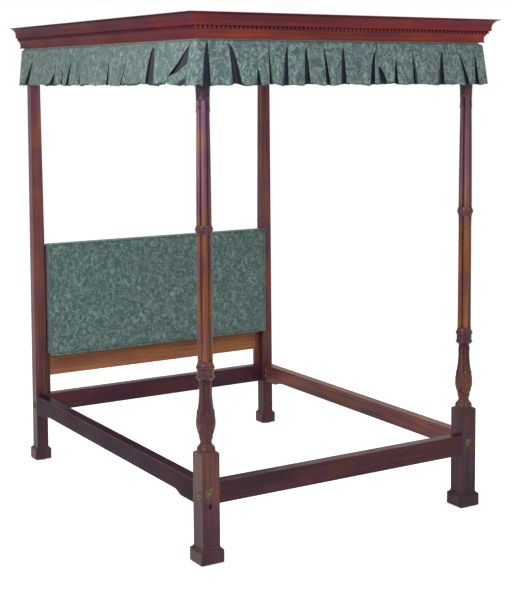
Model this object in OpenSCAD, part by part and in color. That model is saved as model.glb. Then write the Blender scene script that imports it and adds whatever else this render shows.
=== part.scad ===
// Four-post tester bed: carved and clustered foot posts, plain head posts,
// bolted rails, an upholstered headboard and a dentil cornice with a pleated skirt.
// The origin is on the floor under the middle of the cornice, +Y runs to the head.

/* [Bed] */
// Spacing of the foot posts' centres across the bed
bed_w = 1465; // [1200:5:1900]
// Spacing of the foot and head posts' centres along the bed
bed_l = 1940; // [1700:5:2200]
// Height to the top of the cornice
bed_h = 2422; // [2360:2:2600]

/* [Foot posts] */
// Width of the square part of a foot post
foot_post_w = 88; // [84:1:100]
// Height at which the square part of a foot post ends
square_top = 494; // [440:2:560]
// Greatest diameter of the carved bulb
bulb_d = 88; // [80:1:94]
// Diameter of the carved neck above the bulb
neck_d = 58; // [52:1:62]
// Height of the turned ring half way up the shaft
ring_z = 1464; // [1300:2:1600]
// Distance of the carved capital's foot below the tester's boards
capital_drop = 289; // [274:5:434]
// Diameter round the four lobes at the foot of the shaft
shaft_d = 68; // [60:1:70]
// Diameter round the four lobes at the head of the shaft
shaft_top_d = 57; // [52:0.5:59]
// Turn of the lobes and leaves away from square
shaft_turn = -22.5; // [-45:0.5:45]
// Height of the carved leaves above the wood between them
leaf_relief = 2.6; // [1.5:0.1:3.5]

/* [Head posts] */
// Width of a head post up to its taper
head_post_w = 66; // [62:1:80]
// Width of a head post at its top
head_post_top_w = 53; // [48:1:60]
// Height at which a head post starts to taper
head_taper_z = 1260; // [1240:5:1500]

/* [Feet] */
// Width of the block under a foot post
foot_block_w = 118; // [110:1:125]
// Width of the block under a head post
head_block_w = 92; // [88:1:110]
// Height of the blocks' upright sides
block_h = 51; // [40:1:70]
// Height of the curve from a block in to its post
block_curve_h = 19; // [14:1:26]
// Corner radius of the blocks
block_r = 9; // [5:1:11]
// Diameter of the glides
glide_d = 36; // [28:1:40]
// Height of the glides
glide_h = 6; // [4:1:10]
// Distance of the glides forward of the posts' centres
glide_forward = 25; // [10:1:27]

/* [Rails] */
// Thickness of the rails
rail_t = 55; // [48:1:60]
// Height of the rails' top edges
rail_top = 370; // [355:1:420]
// Depth of the foot and head rails
end_rail_depth = 100; // [94:1:130]
// Depth of the side rails at their ends
side_rail_end_depth = 105; // [98:1:130]
// Depth of the side rails along the middle
side_rail_depth = 86; // [80:1:94]
// Length of the deep end of a side rail
rail_end_len = 110; // [90:1:150]
// Length of the curve under a side rail
rail_curve_len = 70; // [40:1:100]
// Thickness of the rails' tenons
tenon_t = 24; // [20:1:28]
// Length of the rails' tenons
tenon_len = 12; // [8:1:16]
// Shoulder above and below a tenon
tenon_shoulder = 13; // [8:1:16]
// Clearance round a tenon in its mortise
tenon_gap = 0.3; // [0.1:0.1:0.6]
// Diameter of the old holes along the side rails
rail_hole_d = 8; // [5:1:10]
// Distance of those holes below the rail's top
rail_hole_drop = 20; // [14:1:30]
// Spacing of those holes
rail_hole_pitch = 227; // [180:1:240]
// Number of those holes in each side rail
rail_holes = 4; // [2:1:5]

/* [Bed bolts] */
// Height of the bolts that run lengthwise
long_bolt_z = 325; // [322:1:335]
// Height of the bolts that run across the bed
cross_bolt_z = 305; // [296:1:306]
// Distance of the lengthwise bolts outside the foot posts' centres
long_bolt_out = 5; // [3:0.5:9]
// Diameter of a bolt's shank
bolt_d = 10; // [8:0.5:12]
// Length of a bolt's shank
bolt_len = 140; // [130:1:160]
// Width of a bolt's head over its flats
bolt_head_w = 17; // [14:0.5:19]
// Thickness of a bolt's head
bolt_head_t = 7; // [5:0.5:8]
// Diameter of the recess that holds the head
recess_d = 24; // [23:0.5:26]
// Depth of that recess
recess_depth = 9; // [8.5:0.5:12]
// Width of a square nut
nut_w = 20; // [17:0.5:22]
// Thickness of a square nut
nut_t = 10; // [8:0.5:12]
// Clearance round a bolt in the wood
bolt_gap = 0.5; // [0.3:0.1:1]

/* [Bolt covers] */
// Height of an oval cover
cover_h = 45; // [42:0.5:50]
// Width of an oval cover
cover_w = 34; // [30:0.5:38]
// Thickness of a cover's rim
cover_t = 1.4; // [1:0.1:2]
// Height of the raised middle of a cover
cover_dome = 2.2; // [1.4:0.1:3]
// Distance of the pivot below a cover's top edge
pivot_drop = 5; // [4:0.5:6]
// Swing of the right foot cover away from hanging straight
right_swing = -40; // [-90:1:90]
// Swing of the left foot cover away from hanging straight
left_swing = -25; // [-90:1:90]
// Diameter of a pivot screw
pivot_d = 3.5; // [3:0.1:4]
// Running clearance round and beside a cover
cover_gap = 0.3; // [0.2:0.1:0.5]

/* [Headboard] */
// Height of the lower edge of the padded panel
panel_bottom = 595; // [540:5:640]
// Height of the upper edge of the padded panel
panel_top = 1227; // [1100:5:1230]
// Distance of the panel's welt in front of the head posts
panel_proud = 48; // [35:1:60]
// Gap between the panel and a head post
panel_gap = 9; // [5:1:15]
// Corner radius of the panel
panel_r = 25; // [18:1:40]
// Diameter of the welt
welt_d = 8; // [6:0.5:10]
// Crown of the padding in front of the welt
panel_crown = 6.5; // [3:0.5:12]
// Thickness of the board inside the panel
core_t = 18; // [12:1:24]
// Thickness of the cloth round that board
cloth_t = 4; // [3:0.5:6]
// Thickness of the headboard's frame
hb_t = 25; // [20:1:28]
// Width of the frame's stiles
stile_w = 34.5; // [30:0.5:60]
// Height of the lower edge of the frame's bottom rail
hb_rail_bottom = 470; // [430:5:500]
// Depth of the frame's bottom rail
hb_rail_depth = 170; // [150:5:200]
// Depth of the frame's top rail
hb_top_depth = 80; // [60:5:120]
// Distance of the frame's back inside the head posts' backs
hb_back = 1; // [0:0.5:6]
// Clearance round a screw's shank
screw_gap = 0.1; // [0.05:0.05:0.2]

/* [Tester] */
// Distance of the frieze's face outside the foot posts' centres
frieze_out = 60; // [56:1:70]
// Thickness of the frieze
frieze_t = 18; // [16:1:20]
// Height of the frieze and cornice together
cornice_h = 111; // [106:1:130]
// Projection of the cornice in front of the frieze
crown_out = 57; // [48:1:70]
// Depth of the crown moulding
crown_h = 55.5; // [50:0.5:60]
// Height of the dentils
dentil_h = 13; // [10:0.5:15]
// Width of a dentil
dentil_w = 12.5; // [10:0.5:14]
// Spacing of the dentils
dentil_pitch = 22; // [18:0.5:28]
// Projection of the dentils in front of the frieze
dentil_out = 16.7; // [13:0.1:20]
// Projection of the strip behind the dentils
dentil_back = 9.7; // [7:0.1:11]
// Distance of the tester's ends beyond the head posts' centres
head_overhang = 60; // [55:1:80]
// Width of the flat boards on the posts
board_w = 80; // [76:1:100]
// Thickness of those boards
board_t = 22; // [18:1:28]
// Height of the boards above the frieze's lower edge
board_rise = 23; // [22:1:40]
// Diameter of the pins in the posts' tops
pin_d = 12; // [10:0.5:14]
// Length of a pin
pin_len = 54; // [50:1:60]

/* [Skirt] */
// Drop of the pleated skirt below the frieze
skirt_drop = 201; // [150:1:260]
// Spacing of the pleats
pleat_pitch = 104; // [103:1:150]
// Depth of a pleat's opening at the hem
pleat_depth = 14; // [6:0.5:16]
// Width of a pleat's opening at the hem
pleat_open = 30; // [16:1:40]
// Distance of the hem outside the foot posts' centres
hem_out = 75; // [68:1:85]
// Distance of the skirt outside those centres just under the tape
skirt_out = 53; // [50:1:58]
// Thickness of the cloth with its lining
skirt_t = 2.6; // [2:0.1:2.8]
// Width of the heading tape
tape_w = 25; // [20:1:25]
// Thickness of the heading tape
tape_t = 1.2; // [0.8:0.1:1.3]
// Part of the tape that shows under the frieze
tape_shows = 6; // [3:0.5:10]

/* [Hidden] */
$fn = 48;

mahogany = [0.36, 0.17, 0.13];
light_wood = [0.55, 0.30, 0.17];
brass = [0.70, 0.60, 0.32];
steel = [0.55, 0.55, 0.56];
teal = [0.30, 0.39, 0.38];
sage = [0.44, 0.53, 0.49];
pale_tape = [0.80, 0.78, 0.72];

left = -1;
right = 1;
foot_end = -1;
head_end = 1;
gap = 0.3;      // clearance of a soft piece
fit = 0.05;     // clearance of a close fit
past = 1;       // how far a cut runs past a face

foot_x = bed_w / 2;
outer_x = foot_x + foot_post_w / 2;
head_x = outer_x - head_post_w / 2;
foot_y = -bed_l / 2 + (frieze_out + crown_out - head_overhang) / 2;
head_y = foot_y + bed_l;
tester_end_y = head_y + head_overhang;
foot_face_y = foot_y - foot_post_w / 2;
head_face_y = head_y + head_post_w / 2;

frieze_z = bed_h - cornice_h;
board_z = frieze_z + board_rise;
capital_z = board_z - capital_drop;
frieze_in = frieze_out - frieze_t;

// Shapes used by several pieces

// A solid through rings of points that run anticlockwise seen from above. A sheet's
// rings go out along its face and home along its back, so strips close its edges.
module loft(rings, sheet = false) {
    n = len(rings[0]);
    top = (len(rings) - 1) * n;
    polyhedron(
        points = [for (ring = rings) each ring],
        faces = concat(
            sheet
            ? [for (i = [0 : n / 2 - 2]) [i, i + 1, n - 2 - i, n - 1 - i]]
            : [[for (i = [0 : n - 1]) i]],
            sheet
            ? [for (i = [0 : n / 2 - 2]) [n - 1 - i, n - 2 - i, i + 1, i] + [top, top, top, top]]
            : [[for (i = [n - 1 : -1 : 0]) top + i]],
            [for (j = [0 : len(rings) - 2], i = [0 : n - 1], half = [0, 1])
                let (a = j * n + i, b = j * n + (i + 1) % n)
                half == 0 ? [a, a + n, b + n] : [a, b + n, b]]
        )
    );
}

// A post or foot of square plan whose outline is given as [half width, height]
module square_turning(outline) {
    sides = concat(outline, [for (p = reversed(outline)) [-p[0], p[1]]]);
    widest = 2 * max([for (p = outline) p[0]]);
    intersection() {
        rotate([90, 0, 0]) linear_extrude(widest, center = true) polygon(sides);
        rotate([90, 0, 90]) linear_extrude(widest, center = true) polygon(sides);
    }
}

// A square with rounded corners
module rounded_square(w, r) {
    square([w, w - 2 * r], center = true);
    square([w - 2 * r, w], center = true);
    for (x = [-1, 1], y = [-1, 1]) translate([x, y] * (w / 2 - r)) circle(r);
}

// An ogee from [r0, z0] to [r1, z1]
function ogee(r0, z0, r1, z1, steps = 6) = [
    for (i = [0 : steps]) [r0 + (r1 - r0) * (1 - cos(180 * i / steps)) / 2, z0 + (z1 - z0) * i / steps]
];

// A half-round bead of height h that stands out from radius r
function bead(r, out, z, h) = [
    for (a = [-90 : 30 : 90]) [r + out * cos(a), z + h / 2 + h / 2 * sin(a)]
];

function reversed(v) = [for (i = [len(v) - 1 : -1 : 0]) v[i]];
function clamped(v) = max(0, min(1, v));
function smooth(v) = let (c = clamped(v)) c * c * (3 - 2 * c);

// Feet, glides and the square parts of the posts

block_top = glide_h + block_h;
leg_bottom = block_top + block_curve_h;

module foot(block_w, post_w) {
    intersection() {
        square_turning(concat(
            [[block_w / 2, glide_h]], ogee(block_w / 2, block_top, post_w / 2, leg_bottom),
            [[0, leg_bottom]]
        ));
        translate([0, 0, glide_h]) linear_extrude(leg_bottom - glide_h) rounded_square(block_w, block_r);
    }
}

module glides() {
    color(steel) for (side = [left, right]) {
        translate([side * foot_x, foot_y - glide_forward, 0]) cylinder(h = glide_h, d = glide_d);
        translate([side * head_x, head_y - glide_forward, 0]) cylinder(h = glide_h, d = glide_d);
    }
}

// Bed bolts: a spot is [side, end, 1 for a lengthwise bolt or 0 for a cross bolt]

spots = [for (side = [left, right], end = [foot_end, head_end], long = [0, 1]) [side, end, long]];
long_bolt_x = foot_x + long_bolt_out;
foot_rail_y = foot_face_y + rail_t / 2;
head_rail_y = head_face_y - rail_t / 2;
nut_depth = recess_depth + bolt_len - 16;
pocket_w = nut_w + 2;
// From a bolt's axis to the inner face of its rail
function to_inner_face(spot) = spot[2] ? long_bolt_x - (outer_x - rail_t) : rail_t / 2;
// Which way the inner face lies in the bolt's own frame
function inner_side(spot) = spot[0] * spot[1] * (spot[2] ? 1 : -1);

// Puts its children on the post's face at a bolt, with Z outward and Y up
module at_bolt(spot) {
    place = spot[2]
        ? [spot[0] * long_bolt_x, spot[1] == foot_end ? foot_face_y : head_face_y, long_bolt_z]
        : [spot[0] * outer_x, spot[1] == foot_end ? foot_rail_y : head_rail_y, cross_bolt_z];
    spin = spot[2] ? (spot[1] == foot_end ? 0 : 180) : spot[0] * 90;
    translate(place) rotate([90, 0, spin]) children();
}

pivot_up = cover_h / 2 - pivot_drop;
pivot_len = 20;

module bolt_hole(spot) {
    at_bolt(spot) {
        translate([0, 0, -recess_depth]) cylinder(h = recess_depth + past, d = recess_d);
        translate([0, 0, -recess_depth - bolt_len - past])
            cylinder(h = bolt_len + 2 * past, d = bolt_d + 2 * bolt_gap);
        translate([0, pivot_up, -pivot_len]) cylinder(h = pivot_len + past, d = pivot_d + 2 * fit);
    }
}

module bed_bolts() {
    color(steel) for (spot = spots) at_bolt(spot) {
        translate([0, 0, -recess_depth]) cylinder(h = bolt_head_t, d = bolt_head_w / cos(30), $fn = 6);
        translate([0, 0, -recess_depth - bolt_len]) cylinder(h = bolt_len + past, d = bolt_d);
    }
}

module bolt_nuts() {
    color(steel) for (spot = spots) at_bolt(spot) translate([0, 0, -nut_depth]) difference() {
        translate([-nut_w / 2, -nut_w / 2, 0]) cube([nut_w, nut_w, nut_t]);
        translate([0, 0, -past]) cylinder(h = nut_t + 2 * past, d = bolt_d + 2 * fit);
    }
}

// The slot that lets a nut in from the rail's inner face
module nut_pocket(spot) {
    reach = to_inner_face(spot) + past;
    at_bolt(spot) translate([inner_side(spot) < 0 ? -reach : -pocket_w / 2, -pocket_w / 2, -nut_depth - past])
        cube([reach + pocket_w / 2, pocket_w, nut_t + past]);
}

module nut_plugs() {
    plug = [plug_t - fit, pocket_w - 2 * fit, nut_t + past - 2 * fit];
    color(mahogany) for (spot = spots) {
        outside = to_inner_face(spot);
        at_bolt(spot) translate([
            inner_side(spot) < 0 ? -outside : outside - plug[0], -plug[1] / 2, -nut_depth - past + fit
        ]) cube(plug);
    }
}
plug_t = min(to_inner_face([left, foot_end, 1]), rail_t / 2) - nut_w / 2 - 1;

// Oval covers and their pivot screws

module oval(w, h) {
    polygon([for (a = [0 : 9 : 351]) [w / 2 * cos(a), h / 2 * sin(a)]]);
}

// The raised middle is a slice of a ball
dome_r = cover_w * 0.36;
dome_ball = (dome_r * dome_r + cover_dome * cover_dome) / (2 * cover_dome);

module bolt_cover(spot, swing = 0) {
    color(brass) at_bolt(spot)
        translate([0, pivot_up, cover_gap]) rotate([0, 0, swing]) difference() {
            translate([0, -pivot_up, 0]) union() {
                linear_extrude(cover_t) oval(cover_w, cover_h);
                translate([0, -pivot_drop / 2, cover_t]) intersection() {
                    translate([0, 0, cover_dome - dome_ball]) sphere(dome_ball);
                    translate([0, 0, -cover_t / 2]) cylinder(h = cover_dome + cover_t, r = dome_r + past);
                }
            }
            translate([0, 0, -past]) cylinder(h = cover_t + 2 * past, d = pivot_d + 4 * fit);
        }
}

module cover_foot_left_end() { bolt_cover([left, foot_end, 1], left_swing); }
module cover_foot_left_side() { bolt_cover([left, foot_end, 0]); }
module cover_foot_right_end() { bolt_cover([right, foot_end, 1], right_swing); }
module cover_foot_right_side() { bolt_cover([right, foot_end, 0]); }
module cover_head_left_end() { bolt_cover([left, head_end, 1]); }
module cover_head_left_side() { bolt_cover([left, head_end, 0]); }
module cover_head_right_end() { bolt_cover([right, head_end, 1]); }
module cover_head_right_side() { bolt_cover([right, head_end, 0]); }

module cover_screws() {
    head_z = cover_gap + cover_t + cover_gap;
    color(brass) for (spot = spots) at_bolt(spot) translate([0, pivot_up, 0]) {
        translate([0, 0, -pivot_len]) cylinder(h = pivot_len + head_z + past, d = pivot_d);
        translate([0, 0, head_z]) cylinder(h = 1.2, d = 2 * pivot_d);
        translate([0, 0, head_z + 1.2]) cylinder(h = 0.8, d1 = 2 * pivot_d, d2 = 1.3 * pivot_d);
    }
}

// Rails

side_rail_start = foot_y + foot_post_w / 2;
side_rail_stop = head_y - head_post_w / 2;

// A tenon or, with clearance and depth added, its mortise
module tenon(depth, grow = 0) {
    high = depth - 2 * tenon_shoulder + 2 * grow;
    deep = tenon_len + 2 * grow;
    translate([-tenon_t / 2 - grow, -deep, rail_top - depth + tenon_shoulder - grow])
        cube([tenon_t + 2 * grow, deep + past, high]);
}

module side_tenons(side, grow = 0) {
    for (end = [foot_end, head_end])
        translate([side * long_bolt_x, end == foot_end ? side_rail_start : side_rail_stop, 0])
            rotate([0, 0, end == foot_end ? 0 : 180]) tenon(side_rail_end_depth, grow);
}

module end_tenons(end, grow = 0) {
    reach = end == foot_end ? foot_x - foot_post_w / 2 : head_x - head_post_w / 2;
    for (side = [left, right])
        translate([side * reach, end == foot_end ? foot_rail_y : head_rail_y, 0])
            rotate([0, 0, side * 90]) tenon(end_rail_depth, grow);
}

// Half of a side rail's lower edge, from the post to the middle
function rail_edge() = concat(
    [[0, -side_rail_end_depth]],
    [for (p = ogee(side_rail_end_depth, rail_end_len, side_rail_depth, rail_end_len + rail_curve_len))
        [p[1], -p[0]]]
);

module side_rail(side) {
    len = side_rail_stop - side_rail_start;
    edge = rail_edge();
    color(mahogany) difference() {
        union() {
            translate([side * (outer_x - rail_t / 2), side_rail_start, rail_top])
                rotate([90, 0, 90]) linear_extrude(rail_t, center = true) polygon(concat(
                    [[0, 0]], edge, [for (p = reversed(edge)) [len - p[0], p[1]]],
                    [[len, 0]]
                ));
            side_tenons(side);
        }
        for (end = [foot_end, head_end]) {
            bolt_hole([side, end, 1]);
            nut_pocket([side, end, 1]);
        }
        for (i = [0 : rail_holes - 1])
            translate([side * (outer_x - rail_t - past), rail_hole_y(i), rail_top - rail_hole_drop])
                rotate([0, side * 90, 0]) cylinder(h = 30, d = rail_hole_d, $fn = 24);
        for (z = rail_screw_z)
            translate([side * (outer_x - rail_t - past), side_rail_stop - rail_screw_in, z])
                rotate([0, side * 90, 0]) cylinder(h = rail_screw_len + 2 * past, d = rail_screw_d + 2 * fit);
    }
}
module side_rail_left() { side_rail(left); }
module side_rail_right() { side_rail(right); }

// The first hole lies a fixed way from the foot post
rail_hole_start = 226;
function rail_hole_y(i) = side_rail_start + rail_hole_start + i * rail_hole_pitch;

// Two screws lock each side rail beside its head post
rail_screw_in = 9;
rail_screw_len = 28;
rail_screw_d = 4;
rail_screw_head = 1.6;
rail_screw_below = 23;
rail_screw_above = 16;
rail_screw_z = [long_bolt_z - rail_screw_below, long_bolt_z + rail_screw_above];

module rail_screws() {
    color(pale_tape) for (side = [left, right], z = rail_screw_z)
        translate([side * (outer_x - rail_t), side_rail_stop - rail_screw_in, z]) rotate([0, side * 90, 0]) {
            translate([0, 0, -rail_screw_head])
                cylinder(h = rail_screw_head, d1 = 1.2 * rail_screw_d, d2 = 2 * rail_screw_d);
            cylinder(h = rail_screw_len, d = rail_screw_d);
        }
}

module end_rail(end) {
    reach = end == foot_end ? foot_x - foot_post_w / 2 : head_x - head_post_w / 2;
    y = end == foot_end ? foot_rail_y : head_rail_y;
    color(mahogany) difference() {
        union() {
            translate([-reach, y - rail_t / 2, rail_top - end_rail_depth])
                cube([2 * reach, rail_t, end_rail_depth]);
            end_tenons(end);
        }
        for (side = [left, right]) {
            bolt_hole([side, end, 0]);
            nut_pocket([side, end, 0]);
        }
    }
}
module foot_rail() { end_rail(foot_end); }
module head_rail() { end_rail(head_end); }

// Foot posts, from the floor up

base_z = square_top + 9;
bulb_z = square_top + 77;
belly_z = bulb_z + 61;
neck_z = belly_z + 150;
collar_z = neck_z + 40;
shaft_z = collar_z + 85;
ring_h = 42;

// Old oval hole in the left foot post's face, below its bolt
old_hole = [14, 28, 12];
old_hole_z = 262;

module leg(side) {
    difference() {
        union() {
            translate([side * foot_x, foot_y, 0]) foot(foot_block_w, foot_post_w);
            translate([side * foot_x, foot_y, 0]) intersection() {
                translate([-foot_post_w / 2, -foot_post_w / 2, leg_bottom - past])
                    cube([foot_post_w, foot_post_w, base_z + 2 - leg_bottom]);
                rotate_extrude() polygon(concat(
                    [[0, glide_h], [foot_post_w, glide_h]],
                    ogee(foot_post_w * 0.71, square_top, foot_post_w * 0.48, base_z),
                    [[foot_post_w * 0.48, base_z + 4], [0, base_z + 4]]
                ));
            }
        }
        side_tenons(side, tenon_gap);
        end_tenons(foot_end, tenon_gap);
        bolt_hole([side, foot_end, 1]);
        bolt_hole([side, foot_end, 0]);
        if (side == left)
            translate([side * long_bolt_x, foot_face_y - past, old_hole_z]) rotate([-90, 0, 0])
                linear_extrude(old_hole[2] + past) oval(old_hole[0], old_hole[1]);
    }
}

// The lathe-turned base between the square part and the bulb
module turned_base() {
    base_r = foot_post_w * 0.477;
    rotate_extrude() polygon(concat(
        [[0, base_z], [base_r - 1, base_z]],
        bead(base_r - 1, 1, base_z + 2, 12),
        ogee(base_r - 2, base_z + 16, neck_d / 2 - 2, base_z + 36),
        ogee(neck_d / 2 - 3, base_z + 44, neck_d / 2, base_z + 55, 3),
        bead(neck_d / 2, 2.5, base_z + 58, 9),
        [[neck_d / 2, bulb_z], [0, bulb_z]]
    ));
}

// Radius of the carved bulb and neck at height z
function bulb_r(z) =
    z < belly_z
    ? neck_d / 2 + 2 + (bulb_d / 2 - neck_d / 2 - 2) * sin(90 * clamped((z - bulb_z) / (belly_z - bulb_z)))
    : neck_d / 2 + (bulb_d - neck_d) / 2
        * (1 + cos(180 * pow(clamped((z - belly_z + 5) / (neck_z - belly_z)), 0.8))) / 2;

// Relief of one leaf that springs from z0 and ends in a point at z1; a is the angle from its vein
function leaf(z, a, z0, z1, half, lobes) =
    let (
        t = (z - z0) / (z1 - z0),
        w = half * sqrt(max(0, 1 - t * t)) * (1 + 0.14 * sin(360 * lobes * t))
    )
    t < 0 || t > 1 ? 0 : smooth((w - abs(a)) / 9) * (0.75 + 0.35 * t) + 0.3 * smooth((5 - abs(a)) / 5);

// The angle of a from the nearest of four spines that start at offset
function from_spine(a, offset = 0) = let (b = (a - offset + 765) % 90) b > 45 ? b - 90 : b;

// A ring of points at height z whose radius is r(z, a) at angle a
function carved_ring(z, count, r) = [
    for (i = [0 : count - 1])
        let (a = 360 * i / count, d = r(z, a))
        [d * cos(a + shaft_turn), d * sin(a + shaft_turn), z]
];

// Four broad leaves clasp the bulb and eight slender ones rise behind them up the neck
function bulb_carved(z, a) = bulb_r(z) - leaf_relief + leaf_relief * max(
    leaf(z, from_spine(a), bulb_z - 4, neck_z - 92, 41, 3),
    0.8 * leaf(z, from_spine(a, 45), bulb_z + 30, collar_z - 4, 27, 4),
    0.7 * leaf(z, from_spine(a), bulb_z + 60, collar_z - 14, 22, 4)
);

module carved_bulb() {
    low = bulb_z - 2;
    high = collar_z + 3;
    steps = 18;
    carve = function (z, a) bulb_carved(z, a);
    loft([for (i = [0 : steps]) carved_ring(low + (high - low) * i / steps, 48, carve)]);
}

module collar() {
    r = neck_d / 2;
    rotate_extrude() polygon(concat(
        [[0, collar_z], [r + 2, collar_z]],
        bead(r + 10, 3.5, collar_z + 9, 7),
        [[r + 9.5, collar_z + 27], [r + 10, collar_z + 39]],
        bead(r + 10, 2.5, collar_z + 40, 6),
        ogee(r + 10, collar_z + 60, shaft_d / 2, collar_z + 80),
        [[shaft_d / 2, shaft_z], [0, shaft_z]]
    ));
}

// Outline of four lobes that touch, for a shaft of radius r
lobe_r = 0.414;
function lobes(r, z) = [
    for (k = [0 : 3], a = [-116 : 29 : 116])
        let (turn = 90 * k + shaft_turn, x = r * (1 - lobe_r + lobe_r * cos(a)), y = r * lobe_r * sin(a))
        [x * cos(turn) - y * sin(turn), x * sin(turn) + y * cos(turn), z]
];

// The shaft narrows a little to the ring and again, faster, to the capital
ring_d = shaft_d - 4;
function shaft_r(z) = z < ring_z
    ? shaft_d / 2 - (shaft_d - ring_d) / 2 * (z - shaft_z) / (ring_z - shaft_z)
    : let (t = (z - ring_z - ring_h) / (capital_z - ring_z - ring_h))
        shaft_d / 2 - 0.3 - (shaft_d - shaft_top_d) / 2 * pow(clamped(t), 1.5);

module shaft(z0, z1, steps) {
    loft([for (i = [0 : steps]) let (z = z0 + (z1 - z0) * i / steps) lobes(shaft_r(z), z)]);
}

module mid_ring() {
    r = ring_d / 2 + 1;
    rotate_extrude() polygon(concat(
        [[0, ring_z], [r, ring_z]],
        ogee(r, ring_z + 1, r + 4, ring_z + 12, 4),
        bead(r + 4, 3, ring_z + 15, 15),
        ogee(r + 4, ring_z + 33, shaft_d / 2 + 0.3, ring_z + ring_h, 4),
        [[0, ring_z + ring_h]]
    ));
}

// Capital: a bead, a bell of leaves and a flat-edged ring, then a plain neck up to the tester
bell_z = capital_z + 15;
bell_h = 90;
abacus_z = bell_z + bell_h;
top_neck_d = 54;

function bell_carved(z, a) =
    let (t = clamped((z - bell_z) / bell_h), r = shaft_top_d / 2 + 1.5 + 9 * pow(t, 2.2))
    r - leaf_relief * 0.6 + leaf_relief * 0.8 * max(
        leaf(z, from_spine(a), bell_z - 2, abacus_z + 8, 36, 2),
        0.8 * leaf(z, from_spine(a, 45), bell_z + 20, abacus_z + 14, 30, 2)
    );

module capital() {
    r = shaft_top_d / 2;
    rotate_extrude() polygon(concat(
        [[0, capital_z]], bead(r, 2, capital_z + 1, 13), [[r, bell_z + 1], [0, bell_z + 1]]
    ));
    carve = function (z, a) bell_carved(z, a);
    loft([for (i = [0 : 7]) carved_ring(bell_z - 2.6 + (bell_h + 5.8) * i / 7, 40, carve)]);
    translate([0, 0, abacus_z]) rotate_extrude() polygon(concat(
        [[0, 0], [r + 9, 0]], bead(r + 11, 2, 2, 8), [[r + 9, 12], [0, 12]]
    ));
    difference() {
        translate([0, 0, abacus_z + 6]) cylinder(h = board_z - abacus_z - 6, d = top_neck_d);
        pin_hole();
    }
}

pin_in_post = pin_len - board_t - 2;
module pin_hole() {
    translate([0, 0, board_z - pin_in_post]) cylinder(h = pin_in_post + past, d = pin_d + 2 * fit);
}

module foot_post(side) {
    color(mahogany) union() {
        leg(side);
        translate([side * foot_x, foot_y, 0]) {
            turned_base();
            carved_bulb();
            collar();
            shaft(shaft_z - 3, ring_z + 3, 4);
            mid_ring();
            shaft(ring_z + ring_h - 3, capital_z + 4, 6);
            capital();
        }
    }
}
module foot_post_left() { foot_post(left); }
module foot_post_right() { foot_post(right); }

// Head posts

module head_post(side) {
    w = head_post_w / 2;
    color(mahogany) difference() {
        union() {
            translate([side * head_x, head_y, 0]) foot(head_block_w, head_post_w);
            translate([side * head_x, head_y, 0]) square_turning([
                [w, leg_bottom - past], [w, head_taper_z], [head_post_top_w / 2, board_z]
            ]);
        }
        side_tenons(side, tenon_gap);
        end_tenons(head_end, tenon_gap);
        bolt_hole([side, head_end, 1]);
        bolt_hole([side, head_end, 0]);
        translate([side * head_x, head_y, 0]) pin_hole();
        for (z = hb_screw_z) hb_screw_hole(side, z);
    }
}
module head_post_left() { head_post(left); }
module head_post_right() { head_post(right); }

// Headboard

post_in_x = head_x - head_post_w / 2;
hb_y = head_face_y - hb_back - hb_t;
hb_top_below = 12;
hb_top = panel_top - hb_top_below;
stile_x = post_in_x - stile_w;
hb_screw_low = 125;
hb_screw_high = 127;
hb_screw_z = [panel_bottom + hb_screw_low, panel_top - hb_screw_high];
hb_screw_d = 5;
hb_screw_head = 2.5;
hb_screw_bite = 25;
hb_screw_len = stile_w + hb_screw_bite;

// Along X from the stile's inner edge into the post
module at_hb_screw(side, z) {
    translate([side * stile_x, hb_y + hb_t / 2, z]) rotate([0, side * 90, 0]) children();
}

module hb_screw_hole(side, z) {
    at_hb_screw(side, z) translate([0, 0, -past])
        cylinder(h = hb_screw_len + 2 * past, d = hb_screw_d + 2 * screw_gap);
}

module headboard_stile(side) {
    color(light_wood) difference() {
        translate([side > 0 ? stile_x : -post_in_x, hb_y, rail_top]) cube([stile_w, hb_t, hb_top - rail_top]);
        for (z = hb_screw_z) hb_screw_hole(side, z);
    }
}
module headboard_stile_left() { headboard_stile(left); }
module headboard_stile_right() { headboard_stile(right); }

module headboard_screws() {
    color(steel) for (side = [left, right], z = hb_screw_z) at_hb_screw(side, z) {
        translate([0, 0, -hb_screw_head]) cylinder(h = hb_screw_head, d1 = hb_screw_d, d2 = 2 * hb_screw_d);
        translate([0, 0, -past]) cylinder(h = hb_screw_len + past, d = hb_screw_d);
    }
}

module headboard_bottom_rail() {
    color(light_wood) translate([-stile_x, hb_y, hb_rail_bottom]) cube([2 * stile_x, hb_t, hb_rail_depth]);
}

module headboard_top_rail() {
    color(light_wood) translate([-stile_x, hb_y, hb_top - hb_top_depth])
        cube([2 * stile_x, hb_t, hb_top_depth]);
}

panel_w = 2 * (post_in_x - panel_gap);
panel_h = panel_top - panel_bottom;
panel_front_y = head_y - head_post_w / 2 - panel_proud;
panel_depth = hb_y - panel_front_y;

// Puts its children with Z from the frame's face forward to the foot, centred on the panel
module at_panel() {
    translate([0, hb_y, (panel_top + panel_bottom) / 2]) rotate([90, 0, 0]) children();
}

core_w = panel_w - 2 * welt_d / 3 - 2 * cloth_t;
core_h = panel_h - 2 * welt_d / 3 - 2 * cloth_t;

module headboard_core() {
    color(light_wood) at_panel() translate([-core_w / 2, -core_h / 2, 0]) cube([core_w, core_h, core_t]);
}

// A ring of the pad, drawn in from the panel's outline by inset
function pad_ring(inset, z) = [
    for (q = [0 : 3], s = [0 : 5])
        let (
            a = 90 * q + 18 * s,
            r = max(panel_r - inset, 3),
            cx = panel_w / 2 - inset - r,
            cy = panel_h / 2 - inset - r
        )
        [(q == 0 || q == 3 ? cx : -cx) + r * cos(a), (q < 2 ? cy : -cy) + r * sin(a), z]
];

// The pad's crown: distance in from the edge, and share of the full crown there
pad_crown = [[22, 0.35], [70, 0.75], [150, 0.95], [240, 1]];

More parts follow.
